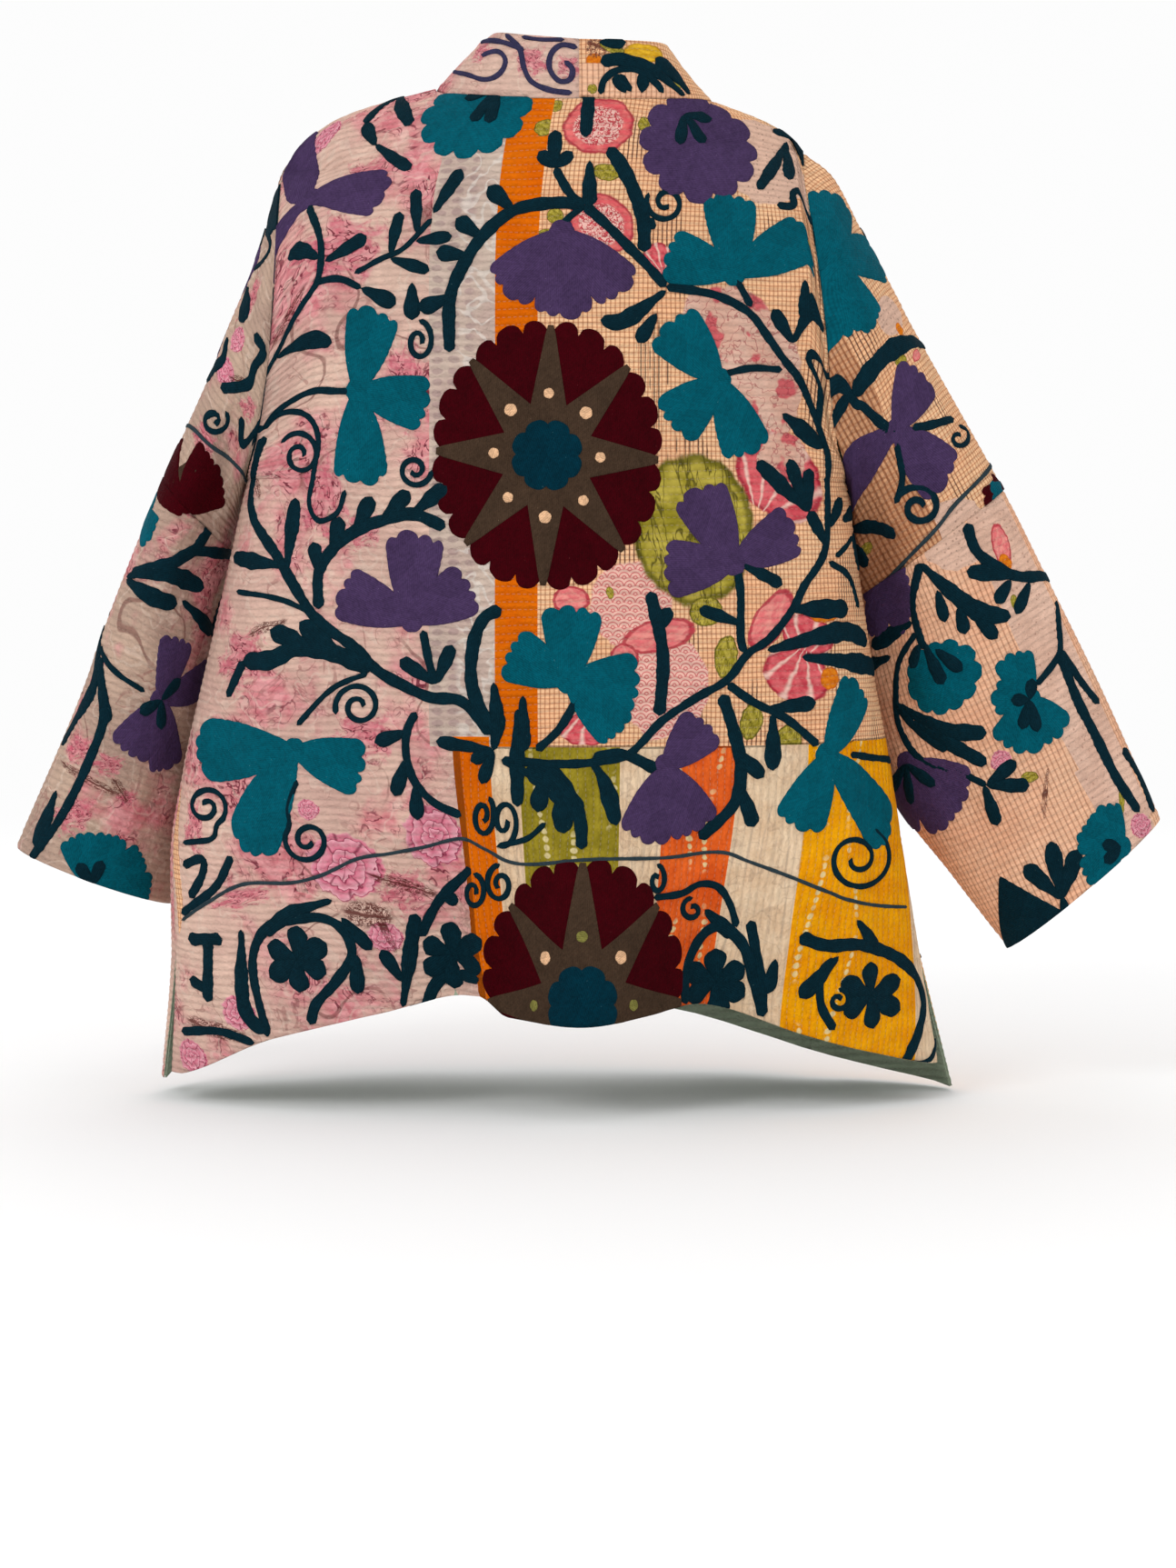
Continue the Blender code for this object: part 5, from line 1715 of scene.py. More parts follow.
def stroke(stitching, flat, width, lift, form):
    """A raised ribbon of stitches through points in cloth coordinates.

    The form is even, with round ends, or leaf, narrow at its start and full near its tip.
    """
    path, at = curve(flat, STROKE_PITCH)
    length = at[-1]
    half = width * THREAD_SPREAD / 2
    ends = np.minimum(at, length - at)
    cap = np.sqrt(1 - (1 - np.clip(ends / min(half, length / 2), 0, 1)) ** 2)
    wide = np.maximum(cap, STROKE_END)
    if form == "leaf":
        foot, full, tip = LEAF_WIDTHS
        grown = step(0, LEAF_BENDS[0], at / length)
        wide = wide * full * mix(foot, 1, grown) * mix(1, tip, step(LEAF_BENDS[1], 1, at / length))
    wide = wide * (1 + 0.07 * np.sin(at / 0.006 + width * 900) + 0.05 * np.sin(at / 0.0023))
    heading = unit(np.gradient(path, axis=0))
    aside = np.stack([-heading[:, 1], heading[:, 0]], axis=-1)
    spots = path[:, None] + aside[:, None] * (RIB[None, :] * (wide * half)[:, None])[..., None]
    rise = np.repeat((BASE + (lift - BASE) * RIB_LIFT)[None], len(path), axis=0)
    points = stitching.panel.on(spots, rise).reshape(-1, 3)
    stitches = np.stack([np.repeat(at[:, None], len(RIB), axis=1), RIB * (wide * half)[:, None]], axis=-1)
    stitching.add(points, strip_faces(len(path), len(RIB)), stitches.reshape(-1, 2))


def blob(stitching, hub, radius, lift, angle=0.0, count=96, narrow=1.0):
    """A raised patch of stitches about a hub. radius gives the outline for each turn about it.

    narrow is its breadth as a share of its height.
    """
    turn = np.linspace(0, 2 * np.pi, count, endpoint=False)
    reach = radius(turn)
    biggest = reach.max()
    rings = max(3, int(biggest / FILL_RING))
    shares = np.concatenate([1 - np.array(FILL_RIM) / biggest, np.linspace(1, 0.0, rings + 1)[1:-1]])
    shares = np.append(np.sort(shares)[::-1], FILL_CENTRE)
    rises = np.full(len(shares), lift)
    rises[:3] = BASE, mix(BASE, lift, 0.85), lift * 0.97
    local = np.stack([np.cos(turn), np.sin(turn)], axis=-1) * (reach[None] * shares[:, None])[..., None]
    heading = np.array([[np.cos(angle), np.sin(angle)], [-np.sin(angle), np.cos(angle)]])
    spots = hub + (local @ heading) * np.array([narrow, 1])
    points = stitching.panel.on(spots, np.repeat(rises[:, None], count, axis=1)).reshape(-1, 3)
    stitches = local + ROW_BEND * np.sin(local[..., ::-1] / ROW_WAVE)
    stitching.add(points, strip_faces(len(shares), count, closed=True)[:, ::-1], stitches.reshape(-1, 2))


def outline_radius(outline):
    """The distance from the origin to a closed outline round it, for each turn."""
    angle = np.arctan2(outline[:, 1], outline[:, 0])
    order = np.argsort(angle)
    away = np.linalg.norm(outline, axis=1)[order]
    return lambda turn: np.interp(turn, angle[order], away, period=2 * np.pi)


def petal_outline(long, wide, bumps):
    """A fan from the hub with round lobes along its outer edge, seen from a point two thirds out."""
    spread = np.arcsin(min(0.95, wide / (1.70 * long)))
    share = np.linspace(-1, 1, 12 * bumps + 1)
    uneven = share + 0.16 * np.sin(2.4 * share + 130 * long) * (1 - share**2)
    lobe = 1 - np.abs(2 * np.mod((uneven + 1) / 2 * bumps, 1) - 1)
    notch = 0.54 * wide / bumps * (1 - np.sqrt(1 - (1 - lobe) ** 2))
    edge = long * (1 - 0.10 * share**2 + 0.025 * np.sin(3.7 * share + 90 * long)) - notch
    fan = np.stack([edge * np.cos(share * spread), edge * np.sin(share * spread)], axis=-1)
    way = np.linspace(0, 1, 9)[1:-1]
    sides = []
    for corner, sign in ((fan[-1], 1), (fan[0], -1)):
        across = unit(np.array([-corner[1], corner[0]])) * sign
        waist = PETAL_WAIST * (1 - way)[:, None] + PETAL_BELLY * np.sin(np.pi * way)[:, None] * long
        sides.append(corner * way[:, None] + across * waist)
    foot = np.array([[-0.02 * long, PETAL_WAIST * sign] for sign in (1, -1)])
    outline = np.concatenate([fan, sides[0][::-1], foot, sides[1]])
    return outline_radius(outline - np.array([PETAL_MIDDLE * long, 0]))


def cornered(corners):
    """A patch with straight edges, from its corners about its middle."""
    way = np.linspace(0, 1, 24, endpoint=False)[:, None]
    edges = [mix(start, end, way) for start, end in zip(corners, np.roll(corners, -1, axis=0))]
    return outline_radius(np.concatenate(edges))


def scalloped(size, bumps, depth=0.12, squash=1.0):
    """A round or oval outline with round lobes."""

    def radius(turn):
        oval = size / np.sqrt(np.cos(turn) ** 2 + (np.sin(turn) / squash) ** 2)
        return oval * (1 - depth * (1 - np.abs(np.cos(bumps * turn / 2))) ** 1.8)

    return radius


def grouped(size, groups, lobes):
    """A disc whose lobes lie in groups, with a deeper notch between two groups."""

    def radius(turn):
        across = 2 * np.mod(turn * groups / (2 * np.pi), 1) - 1
        place = np.mod((across + 1) / 2 * lobes, 1) * 2 - 1
        return size * (1 - 0.07 * across**4 - 0.09 * (1 - np.sqrt(1 - place**2)))

    return radius


def starred(size, points, notch):
    """A star with straight edges and blunt tips. Its hollows reach this share of its size."""
    half = np.pi / points

    def radius(turn):
        away = np.abs(np.mod(turn + half, 2 * half) - half)
        slope = np.sin(np.clip(away - STAR_TIP, 0, half)) + notch * np.sin(half - np.maximum(away, STAR_TIP))
        return size * notch * np.sin(half - STAR_TIP) / slope

    return radius


class Embroidery:
    """The stitched motifs of one panel, placed where they are seen, in mm."""

    def __init__(self, panel, face, colours):
        self.panel = panel
        self.face = face
        self.colours = colours
        self.count = 0

    def in_front(self):
        """The same threads for motifs that are placed where they are seen from the front."""
        return Embroidery(self.panel, "front", self.colours)

    def thread(self, colour):
        if colour not in self.colours:
            self.colours[colour] = Stitching(self.panel, colour)
        return self.colours[colour]

    def lift(self, layer="petal"):
        """Slightly different heights, so that motifs that cross never share a face."""
        self.count += 1
        return LIFTS[layer] + (self.count % LIFT_STEPS) * LIFT_STEP

    def at(self, spots):
        return self.panel.under(spots, self.face)

    def stroke(self, colour, width, spots, form="even", raise_by=0.0):
        flat = self.at(np.reshape(spots, (-1, 2)))
        stroke(self.thread(colour), flat, width * MM, self.lift() + raise_by, form)

    def vines(self, *rows):
        """Even dark strokes, each with its width and its points."""
        for width, *spots in rows:
            self.stroke("vine", width, spots)

    def leaves(self, *rows):
        for width, *spots in rows:
            self.stroke("vine", width, spots, "leaf")

    def spiral(self, colour, width, x, z, rx, rz, start, turns, tail=()):
        """A scroll from its middle outwards; turns is negative for a clockwise one."""
        sweep = np.linspace(0, 1, max(8, int(abs(turns) * 14)))
        angle = np.radians(start) + 2 * np.pi * turns * (sweep - 1)
        grow = 0.16 + 0.84 * sweep
        spots = np.stack([x + rx * grow * np.cos(angle), z + rz * grow * np.sin(angle)], axis=-1)
        self.stroke(colour, width, np.concatenate([spots, np.reshape(tail, (-1, 2))]))

    def flower(self, colour, x, z, petals, calyx=(), bumps=4):
        """Petals from a hub to their tips, each with its width, and dark strokes over the hub."""
        hub = self.at((x, z))[0]
        for tip_x, tip_z, width in petals:
            tip = self.at((tip_x, tip_z))[0]
            reach = np.linalg.norm(tip - hub)
            middle = mix(hub, tip, PETAL_MIDDLE)
            angle = np.arctan2(*(tip - hub)[::-1])
            outline = petal_outline(reach, width * MM, bumps)
            blob(self.thread(colour), middle, outline, self.lift(), angle, count=120)
        blob(self.thread(colour), hub, scalloped(HUB_SIZE, 6, 0.05), self.lift("hub"), count=36)
        for spot in calyx:
            tip = self.at(spot)[0]
            stroke(self.thread("vine"), [hub, tip], CALYX_WIDTH, self.lift("calyx"), "leaf")

    def flowers(self, *rows):
        for row in rows:
            self.flower(*row)

    def patch(self, colour, *spots):
        """A filled patch with straight edges between corners."""
        corners = self.at(np.reshape(spots, (-1, 2)))
        hub = corners.mean(axis=0)
        blob(self.thread(colour), hub, cornered(corners - hub), self.lift("hub"))

    def pompon(self, colour, x, z, rx, rz, bumps=12, calyx=()):
        """A round flower with lobes, and dark strokes over it."""
        hub = self.at((x, z))[0]
        side, top = (np.linalg.norm(self.at(spot)[0] - hub) for spot in ((x + rx, z), (x, z + rz)))
        blob(self.thread(colour), hub, scalloped(side, bumps, 0.14, top / side), self.lift())
        for spots in calyx:
            self.stroke("vine", 9, spots, "leaf", CALYX_RISE)

    def daisy(self, x, z):
        for dx, dz in DAISY:
            self.stroke("vine", 12, (x, z, x + dx, z + dz), "leaf")

    def arched_daisy(self, way, x, z):
        """A daisy and an arch of vine over it. way is 1 where the arch starts at the higher x, else -1."""
        self.daisy(x, z)
        self.stroke("vine", 7, [(x + way * dx, z + dz) for dx, dz in ARCH])

    def rosette(self, x, z, size, turn=0.0, dots=("peach",), narrow=1.0):
        """A maroon disc of grouped lobes under a star, with dots on its points and a blue middle."""
        hub = self.at((x, z))[0]
        size = size * MM
        star = starred(size * STAR_SIZE, POINTS, STAR_NOTCH)
        disc = grouped(size, POINTS, lobes=3)
        blob(self.thread("maroon"), hub, disc, self.lift("disc"), turn, 240, narrow)
        blob(self.thread("star"), hub, star, self.lift("star"), turn, 256, narrow)
        for k in range(POINTS):
            angle = turn + 2 * np.pi * k / POINTS
            spot = hub + size * DOT_PLACE * np.array([np.cos(angle) * narrow, np.sin(angle)])
            radius = scalloped(size * (DOT_SIZE + DOT_MORE * (k % 3 == 1)), 5, 0.10)
            blob(self.thread(dots[k % len(dots)]), spot, radius, self.lift("dot"), k, count=24)
        middle = scalloped(size * MIDDLE_SIZE, POINTS, 0.14)
        blob(self.thread("blue"), hub, middle, self.lift("dot"), turn + 0.4)

    def finish(self):
        return [stitching.weave() for stitching in self.colours.values() if stitching.count]


def embroider_back(e):
    e.rosette(-11, -269, 103, np.radians(88), narrow=0.86)
    e.rosette(15, -680, 110, np.radians(90), ("olive", "peach", "olive"), 0.88)
    e.pompon("teal", -65, -12, 42, 40, 12, [(-48, 2, -72, -3), (-48, 2, -67, -20), (-48, 2, -54, -21)])
    e.pompon("purple", 102, -36, 42, 33, 12, [(91, -15, 112, -18), (91, -15, 88, -37), (91, -15, 107, -36)])
    e.flowers(
        ("purple", -190, -78, ((-206, -20, 40), (-130, -72, 42), (-216, -130, 40))),
        ("purple", 0, -102, ((-45, -148, 42), (2, -168, 44), (48, -148, 40))),
        ("teal", 129, -133, ((125, -72, 44), (76, -118, 42), (187, -118, 42))),
        ("teal", -153, -221, ((-140, -158, 42), (-98, -232, 42), (-150, -292, 44))),
        ("teal", 118, -213, ((78, -168, 46), (80, -248, 44), (142, -270, 42))),
        ("purple", 129, -350, ((100, -292, 44), (176, -322, 42), (75, -355, 44))),
        ("purple", -112, -392, ((-168, -370, 42), (-110, -325, 46), (-66, -366, 42))),
        ("teal", 5, -438, ((-42, -415, 42), (8, -380, 46), (60, -440, 46), (45, -478, 34))),
        ("purple", 78, -502, ((110, -468, 40), (60, -560, 44), (102, -552, 40))),
        ("teal", 199, -493, ((222, -438, 40), (175, -550, 44), (245, -555, 42))),
        ("teal", -200, -490, ((-273, -488, 50), (-146, -505, 44), (-235, -566, 46))),
    )
    e.vines(
        (8, -121, 4, -147, -21),
        (7, -48, 2, -40, 10),
        (8, 81, -2, 91, -15),
        (5, -189, -83, -182, -102, -180, -121, -184, -141, -201, -168, -218, -202, -228, -228, -223, -250),
        (5, -186, -141, -167, -137, -150, -144),
        (4, -155, -133, -135, -122, -118, -114, -97, -92),
        (5, -223, -250, -215, -238, -198, -226, -172, -221, -153, -221),
        (9, 17, -82, -5, -80, -36, -86, -60, -106, -77, -133, -84, -155, -84, -192),
        (9, 18, 0, 18, -31),
        (6, -5, -54, 6, -73, 17, -82),
        (5, 17, -82, 3, -94, 1, -105),
        (7, 17, -82, 32, -95, 49, -112, 63, -126, 78, -143),
        (6, 78, -143, 100, -146, 120, -151, 141, -163, 154, -180, 166, -197, 177, -211, 185, -228, 192,
         -247, 199, -269, 199, -303, 197, -340, 182, -366, 173, -384, 156, -406, 139, -418, 124, -437,
         100, -451, 75, -468, 58, -486, 45, -495, 7, -500, -45, -497),
        (10, 62, -117, 61, -92, 54, -71, 44, -51, 35, -39),
        (5, 131, -138, 142, -158),
        (5, 120, -209, 141, -204, 165, -205),
        (5, 197, -167, 192, -196, 194, -221, 192, -248),
        (6, 161, -82, 173, -82, 185, -92, 195, -109),
        (6, 131, -350, 134, -374, 134, -405, 137, -417),
        (9, 73, -464, 76, -425, 73, -400, 66, -371),
        (6, 124, -440, 144, -454, 168, -466, 192, -486),
        (6, 12, -451, -2, -474, -19, -490),
        (9, 120, -448, 129, -476, 134, -502, 129, -530, 103, -556),
        (8, -223, -255, -228, -270, -232, -294, -231, -315, -223, -330, -214, -343, -206, -357, -196,
         -374, -186, -389, -172, -401, -155, -413, -138, -430, -121, -440, -99, -450, -78, -452, -65,
         -462, -53, -478),
        (4, -189, -386, -214, -376, -243, -371),
        (9, -182, -384, -182, -357, -172, -340, -155, -326, -135, -318, -112, -313, -87, -323),
        (13, -141, -428, -172, -417, -197, -413, -218, -422, -238, -423),
        (7, -238, -423, -250, -450),
        (6, -104, -400, -99, -425, -94, -440),
        (9, -45, -384, -58, -391, -66, -410, -67, -442, -53, -475),
        (4, -145, -432, -172, -444, -198, -471),
        (6, -109, -461, -116, -476, -116, -496, -109, -515, -94, -530, -75, -539),
        (5, -45, -497, -30, -505, -19, -510),
        (19, -26, -503, -8, -512, 4, -528, 10, -542),
        (9, -6, -508, 8, -526, 14, -544, 15, -564),
        (8, 71, -504, 46, -493, 23, -496),
        (4, -223, -250, -210, -238, -190, -240, -182, -258, -186, -285, -189, -305, -182, -318, -168,
         -312, -162, -295),
        (5, 216, -493, 246, -498),
        (4, 217, -330, 205, -345),
        (5, 200, -349, 216, -362, 222, -383),
    )
    e.leaves(
        (9, -139, -37, -147, -21), (9, -121, 4, -113, -22), (8, -139, -37, -113, -55),
        (9, -182, -122, -203, -116), (9, -177, -124, -146, -105), (10, -150, -144, -124, -156),
        (8, -128, -119, -121, -87), (8, -128, -122, -99, -131), (8, -108, -103, -109, -70),
        (8, -109, -109, -82, -105), (9, -96, -88, -75, -55), (10, -112, -140, -112, -168),
        (10, -213, -196, -172, -185), (10, -36, -86, -55, -68), (10, -60, -106, -79, -92),
        (10, -70, -120, -94, -117), (10, -82, -150, -107, -160), (9, -5, -54, -5, -26),
        (9, -5, -54, -17, -42), (9, -5, -54, 8, -42), (9, 21, -49, 21, -83), (9, 62, -100, 69, -92),
        (10, 78, -146, 47, -168, 29, -168), (9, 71, -163, 57, -185), (9, 173, -185, 158, -160),
        (9, 173, -185, 194, -167), (9, 182, -138, 182, -168), (8, 168, -35, 147, -70),
        (9, 168, -35, 170, -63), (13, 158, -27, 179, -43), (11, 165, -238, 195, -264),
        (10, 185, -311, 146, -274), (9, 185, -311, 170, -272), (9, 185, -311, 185, -279),
        (9, 199, -338, 185, -311), (9, 200, -323, 209, -301), (8, 134, -350, 165, -366),
        (8, 134, -395, 103, -384), (9, 73, -400, 81, -383), (12, 171, -384, 214, -384),
        (12, 154, -415, 209, -401, 228, -408), (12, 180, -420, 238, -428), (9, 154, -459, 190, -454),
        (10, 158, -462, 158, -505), (9, 131, -490, 151, -510), (9, 133, -515, 144, -547),
        (9, -206, -355, -199, -301), (10, -206, -352, -245, -345), (10, -182, -357, -186, -334),
        (10, -172, -340, -166, -315), (10, -155, -326, -142, -300), (10, -135, -318, -114, -296),
        (10, -112, -313, -86, -292), (11, -186, -413, -218, -400), (12, -166, -417, -196, -394),
        (9, -94, -440, -121, -422), (9, -94, -440, -82, -411), (9, -51, -439, -47, -476),
        (9, -29, -449, -29, -491), (9, -33, -459, -33, -532), (9, -116, -476, -140, -484),
        (9, -116, -496, -125, -524), (9, -109, -515, -108, -542), (8, -51, -490, -94, -483),
        (8, -51, -490, -68, -498), (8, -51, -490, -60, -515), (9, -51, -490, -46, -461),
        (10, 22, -497, 33, -516, 41, -546), (10, 217, -330, 250, -330), (11, -14, -508, -18, -536),
        (12, -2, -518, 2, -552), (11, 217, -330, 229, -352), (9, 210, -318, 222, -309),
    )
    for spiral in (
        (-107, -184, 11, 16, 90, 1.4),
        (78, -80, 15, 15, 150, -1.5),
        (-196, -269, 16, 18, 150, 1.5),
        (-110, -280, 13, 13, 0, 1.5),
        (-152, -457, 18, 18, 200, 1.6),
        (-266, -532, 16, 16, 300, -1.6, (-262, -556, -283, -559)),
        (-190, -557, 18, 18, 140, -1.6, (-205, -532, -198, -512)),
        (-59, -539, 9, 17, 60, 1.5),
        (-43, -543, 11, 19, 250, -1.4, (-26, -556, -12, -544)),
        (221, -571, 26, 26, 60, 1.7),
        (71, -587, 7, 12, 90, 1.2),
        (98, -609, 9, 9, 90, -1.2),
        (207, -677, 9, 9, 90, 1.3),
        (-66, -596, 9, 14, 90, 1.4),
        (-46, -590, 11, 15, 90, -1.5),
    ):
        e.spiral("vine", 4, *spiral)
    e.stroke("line", 2.5, (
        -284, -617, -264, -603, -238, -590, -203, -589, -179, -583, -153, -571, -128, -567, -102, -562,
        -74, -556, -57, -564, -40, -573, -19, -575, 40, -571, 80, -570, 118, -566, 140, -573, 170, -584,
        200, -596, 220, -603, 258, -607,
    ))
    e.vines(
        (7, -188, -695, -184, -680, -169, -663, -157, -643, -164, -624, -181, -615, -203, -617, -220,
         -622, -230, -639, -230, -663, -220, -704),
        (7, -106, -629, -90, -600, -68, -578),
        (8, -111, -680, -95, -666, -78, -658, -62, -661),
        (8, 93, -680, 93, -656, 100, -636, 114, -622, 127, -626, 139, -643, 151, -689),
        (5, 69, -600, 90, -597, 103, -590, 117, -592, 126, -605, 131, -622),
        (7, 141, -617, 149, -660, 151, -687),
        (9, 178, -629, 199, -636, 228, -636, 253, -646, 270, -672, 268, -697, 256, -729),
        (6, 204, -699, 194, -680, 195, -655, 205, -646),
        (4, 260, -729, 275, -722, 287, -704),
        (9, -279, -631, -254, -631),
        (9, -265, -631, -265, -678),
        (8, -278, -661, -261, -671),
        (6, -284, -700, -257, -700, -230, -709),
        (6, -247, -569, -259, -592, -284, -612),
        (6, -283, -576, -269, -571, -269, -583, -278, -600),
        (4, -45, -497, 12, -500),
    )
    e.leaves(
        (9, -172, -602, -203, -612, -223, -627), (9, -165, -615, -142, -639), (9, -153, -643, -153, -672),
        (10, -240, -624, -238, -680, -223, -702), (9, -119, -663, -135, -639),
        (9, -119, -682, -109, -612), (9, -90, -600, -77, -602), (9, 107, -609, 129, -629),
        (9, 160, -646, 154, -672), (9, 221, -617, 236, -638), (10, 207, -644, 178, -675),
    )
    for x, z in ((-198, -646), (-82, -643), (115, -663), (231, -673)):
        e.daisy(x, z)


def embroider_sleeve_upper_left(e):
    e.pompon("vine", -214, -84, 8, 12, 4)
    e.vines(
        (4, -221, -102, -218, -112, -223, -123, -230, -130),
        (7, -230, -179, -223, -191, -230, -203, -235, -216, -255, -219),
        (6, -240, -240, -235, -259, -229, -272),
    )
    e.leaves(
        (11, -235, -143, -238, -170), (9, -250, -181, -255, -199, -265, -213),
        (9, -208, -150, -211, -172), (7, -232, -262, -221, -242),
    )
    e.spiral("vine", 4, -260, -243, 11, 11, 40, 1.4)
    e.flower("maroon", -290, -315, ((-252, -290, 34), (-262, -268, 30), (-288, -264, 30)), bumps=4)
    e.stroke("star", 10, (-296, -292, -272, -280), "leaf")
    e.stroke("line", 3, (-281, -247, -260, -264, -233, -290))
    e = e.in_front()
    e.flower("purple", -250, -150, ((-238, -100, 42), (-272, -190, 40), (-232, -196, 40)))
    e.vines((6, -232, -90, -246, -120, -250, -150, -268, -225, -285, -262))
    e.leaves(
        (10, -268, -225, -296, -232), (10, -262, -212, -240, -235), (9, -240, -112, -226, -130),
    )


def embroider_sleeve_lower_left(e):
    e.flower("teal", -330, -305, ((-302, -296, 30), (-306, -330, 30)))
    e.flower("maroon", -285, -272, ((-258, -300, 30), (-274, -306, 26)))
    e.flower(
        "purple", -300, -452, ((-286, -404, 34), (-264, -432, 30), (-326, -494, 38), (-296, -506, 36)),
        ((-286, -436), (-300, -474), (-316, -462)),
    )
    e.flower(
        "teal", -352, -592, ((-364, -552, 30), (-334, -552, 28), (-312, -568, 26), (-306, -592, 24)),
        ((-362, -574), (-344, -572)),
    )
    e.vines(
        (9, -256, -302, -258, -320, -275, -340, -300, -352, -322, -358),
        (8, -245, -342, -275, -341, -300, -354),
        (4, -345, -412, -335, -430, -312, -446),
        (7, -345, -420, -342, -460, -355, -500, -375, -540, -398, -572),
    )
    e.leaves(
        (11, -325, -360, -296, -358, -268, -368), (11, -325, -362, -304, -376, -288, -380),
        (9, -284, -378, -262, -402), (10, -250, -362, -262, -405),
        (10, -342, -396, -350, -440, -374, -486), (11, -378, -520, -394, -562),
        (8, -345, -430, -340, -470),
    )
    e = e.in_front()
    e.flower("teal", -330, -420, ((-312, -372, 40), (-362, -440, 36), (-312, -474, 42)))
    e.flower("purple", -372, -545, ((-350, -504, 40), (-395, -572, 36), (-338, -562, 38)))
    e.vines(
        (6, -280, -300, -300, -340, -318, -380, -330, -420, -352, -470, -372, -545),
        (5, -320, -392, -345, -398),
    )
    e.leaves(
        (11, -290, -322, -320, -326), (10, -300, -340, -280, -370), (11, -352, -470, -322, -500),
        (11, -358, -490, -388, -500), (10, -345, -398, -362, -386),
    )


def embroider_sleeve_upper_right(e):
    e.flower("teal", 198, -128, ((204, -72, 44), (246, -122, 44), (236, -172, 28), (208, -186, 42)))
    e.flower("purple", 250, -250, ((268, -204, 46), (290, -290, 44), (216, -300, 46)))
    e.vines(
        (7, 196, -218, 215, -223, 226, -233, 240, -246, 250, -252),
        (6, 262, -249, 278, -246, 293, -242),
    )
    e.leaves(
        (12, 286, -176, 262, -184, 240, -196, 218, -224), (10, 208, -300, 216, -312),
        (10, 216, -324, 250, -328), (10, 216, -326, 229, -352), (8, 215, -222, 200, -250),
    )
    e.vines((6, 251, -260, 255, -285, 250, -305))
    e.spiral("vine", 5, 267, -308, 18, 17, 170, 1.5)
    e.spiral("vine", 3.5, 297, -256, 9, 9, 90, 1.2)
    e.stroke("line", 3, (320, -276, 300, -300, 275, -330, 240, -365, 218, -390))
    e.flower("maroon", 352, -312, ((322, -292, 26), (316, -306, 24)), bumps=3)
    e.flower("teal", 352, -300, ((334, -318, 30), (340, -330, 28)), bumps=3)
    e = e.in_front()
    e.flower("teal", 240, -170, ((222, -120, 44), (276, -186, 42), (232, -222, 44)))
    e.flower("purple", 282, -275, ((268, -232, 40), (310, -296, 38), (262, -314, 40)))
    e.vines(
        (7, 208, -88, 222, -120, 240, -170, 262, -222, 282, -275, 290, -330),
        (5, 262, -222, 232, -250, 224, -282),
    )
    e.leaves(
        (11, 215, -105, 238, -92), (11, 262, -222, 292, -220), (11, 232, -250, 214, -256),
        (11, 224, -282, 244, -308),
    )


def embroider_sleeve_lower_right(e):
    e.flower("purple", 232, -372, ((262, -366, 36), (262, -392, 34), (236, -406, 26)))
    e.pompon("teal", 283, -436, 33, 28, 11)
    for spots in ((268, -410, 262, -428), (272, -410, 286, -440), (280, -414, 300, -430)):
        e.stroke("vine", 9, spots, "leaf", CALYX_RISE)
    e.flower(
        "teal", 350, -452, ((336, -416, 34), (322, -446, 34), (338, -492, 44), (372, -482, 40)),
        ((344, -474), (356, -476), (336, -452), (352, -436)),
    )
    e.flower(
        "purple", 258, -500, ((306, -522, 40), (290, -548, 40), (256, -550, 38)),
        ((262, -530), (280, -516), (248, -520)),
    )
    e.flower(
        "teal", 418, -562, ((404, -530, 30), (386, -552, 30), (392, -588, 32)),
        ((404, -560), (406, -574)),
    )
    e.vines(
        (8, 303, -320, 310, -340, 325, -352, 345, -360, 364, -360),
        (7, 268, -350, 263, -385, 268, -405, 272, -414),
        (5, 265, -402, 252, -425, 250, -450, 252, -470, 262, -490, 275, -500, 290, -505),
        (6, 250, -455, 270, -478, 288, -490),
        (5, 355, -441, 368, -425, 373, -415, 372, -395, 370, -378),
        (6, 373, -415, 390, -440, 402, -455),
        (8, 373, -418, 385, -450, 400, -480, 415, -510, 432, -536),
        (9, 420, -488, 434, -512, 443, -536),
        (5, 288, -500, 302, -508, 318, -516),
    )
    e.leaves(
        (11, 268, -350, 290, -370, 312, -386, 336, -390), (8, 281, -370, 287, -394),
        (9, 297, -382, 302, -403), (9, 308, -388, 326, -406), (9, 345, -360, 303, -356),
        (9, 336, -362, 325, -380), (8, 350, -364, 340, -388), (10, 262, -394, 232, -412),
        (10, 246, -420, 220, -426), (10, 252, -456, 285, -474, 318, -477),
        (9, 262, -468, 292, -486, 318, -500), (9, 318, -516, 340, -498), (9, 318, -516, 350, -516),
        (9, 316, -516, 326, -546), (10, 374, -601, 346, -576), (10, 374, -601, 366, -558),
        (10, 374, -601, 386, -564), (6, 374, -598, 376, -610),
    )
    e.patch("vine", 327, -583, 378, -610, 334, -643)
    e = e.in_front()
    e.flower("teal", 320, -430, ((300, -388, 40), (356, -446, 38), (304, -476, 42)))
    e.flower("purple", 395, -548, ((372, -512, 38), (424, -536, 34), (376, -582, 38)))
    e.vines(
        (7, 292, -330, 305, -380, 320, -430, 352, -490, 395, -548),
        (5, 352, -490, 322, -520, 318, -560),
    )
    e.leaves(
        (11, 300, -360, 330, -356), (11, 305, -372, 276, -392), (11, 345, -478, 376, -472),
        (11, 322, -520, 296, -528), (11, 318, -560, 340, -584),
    )


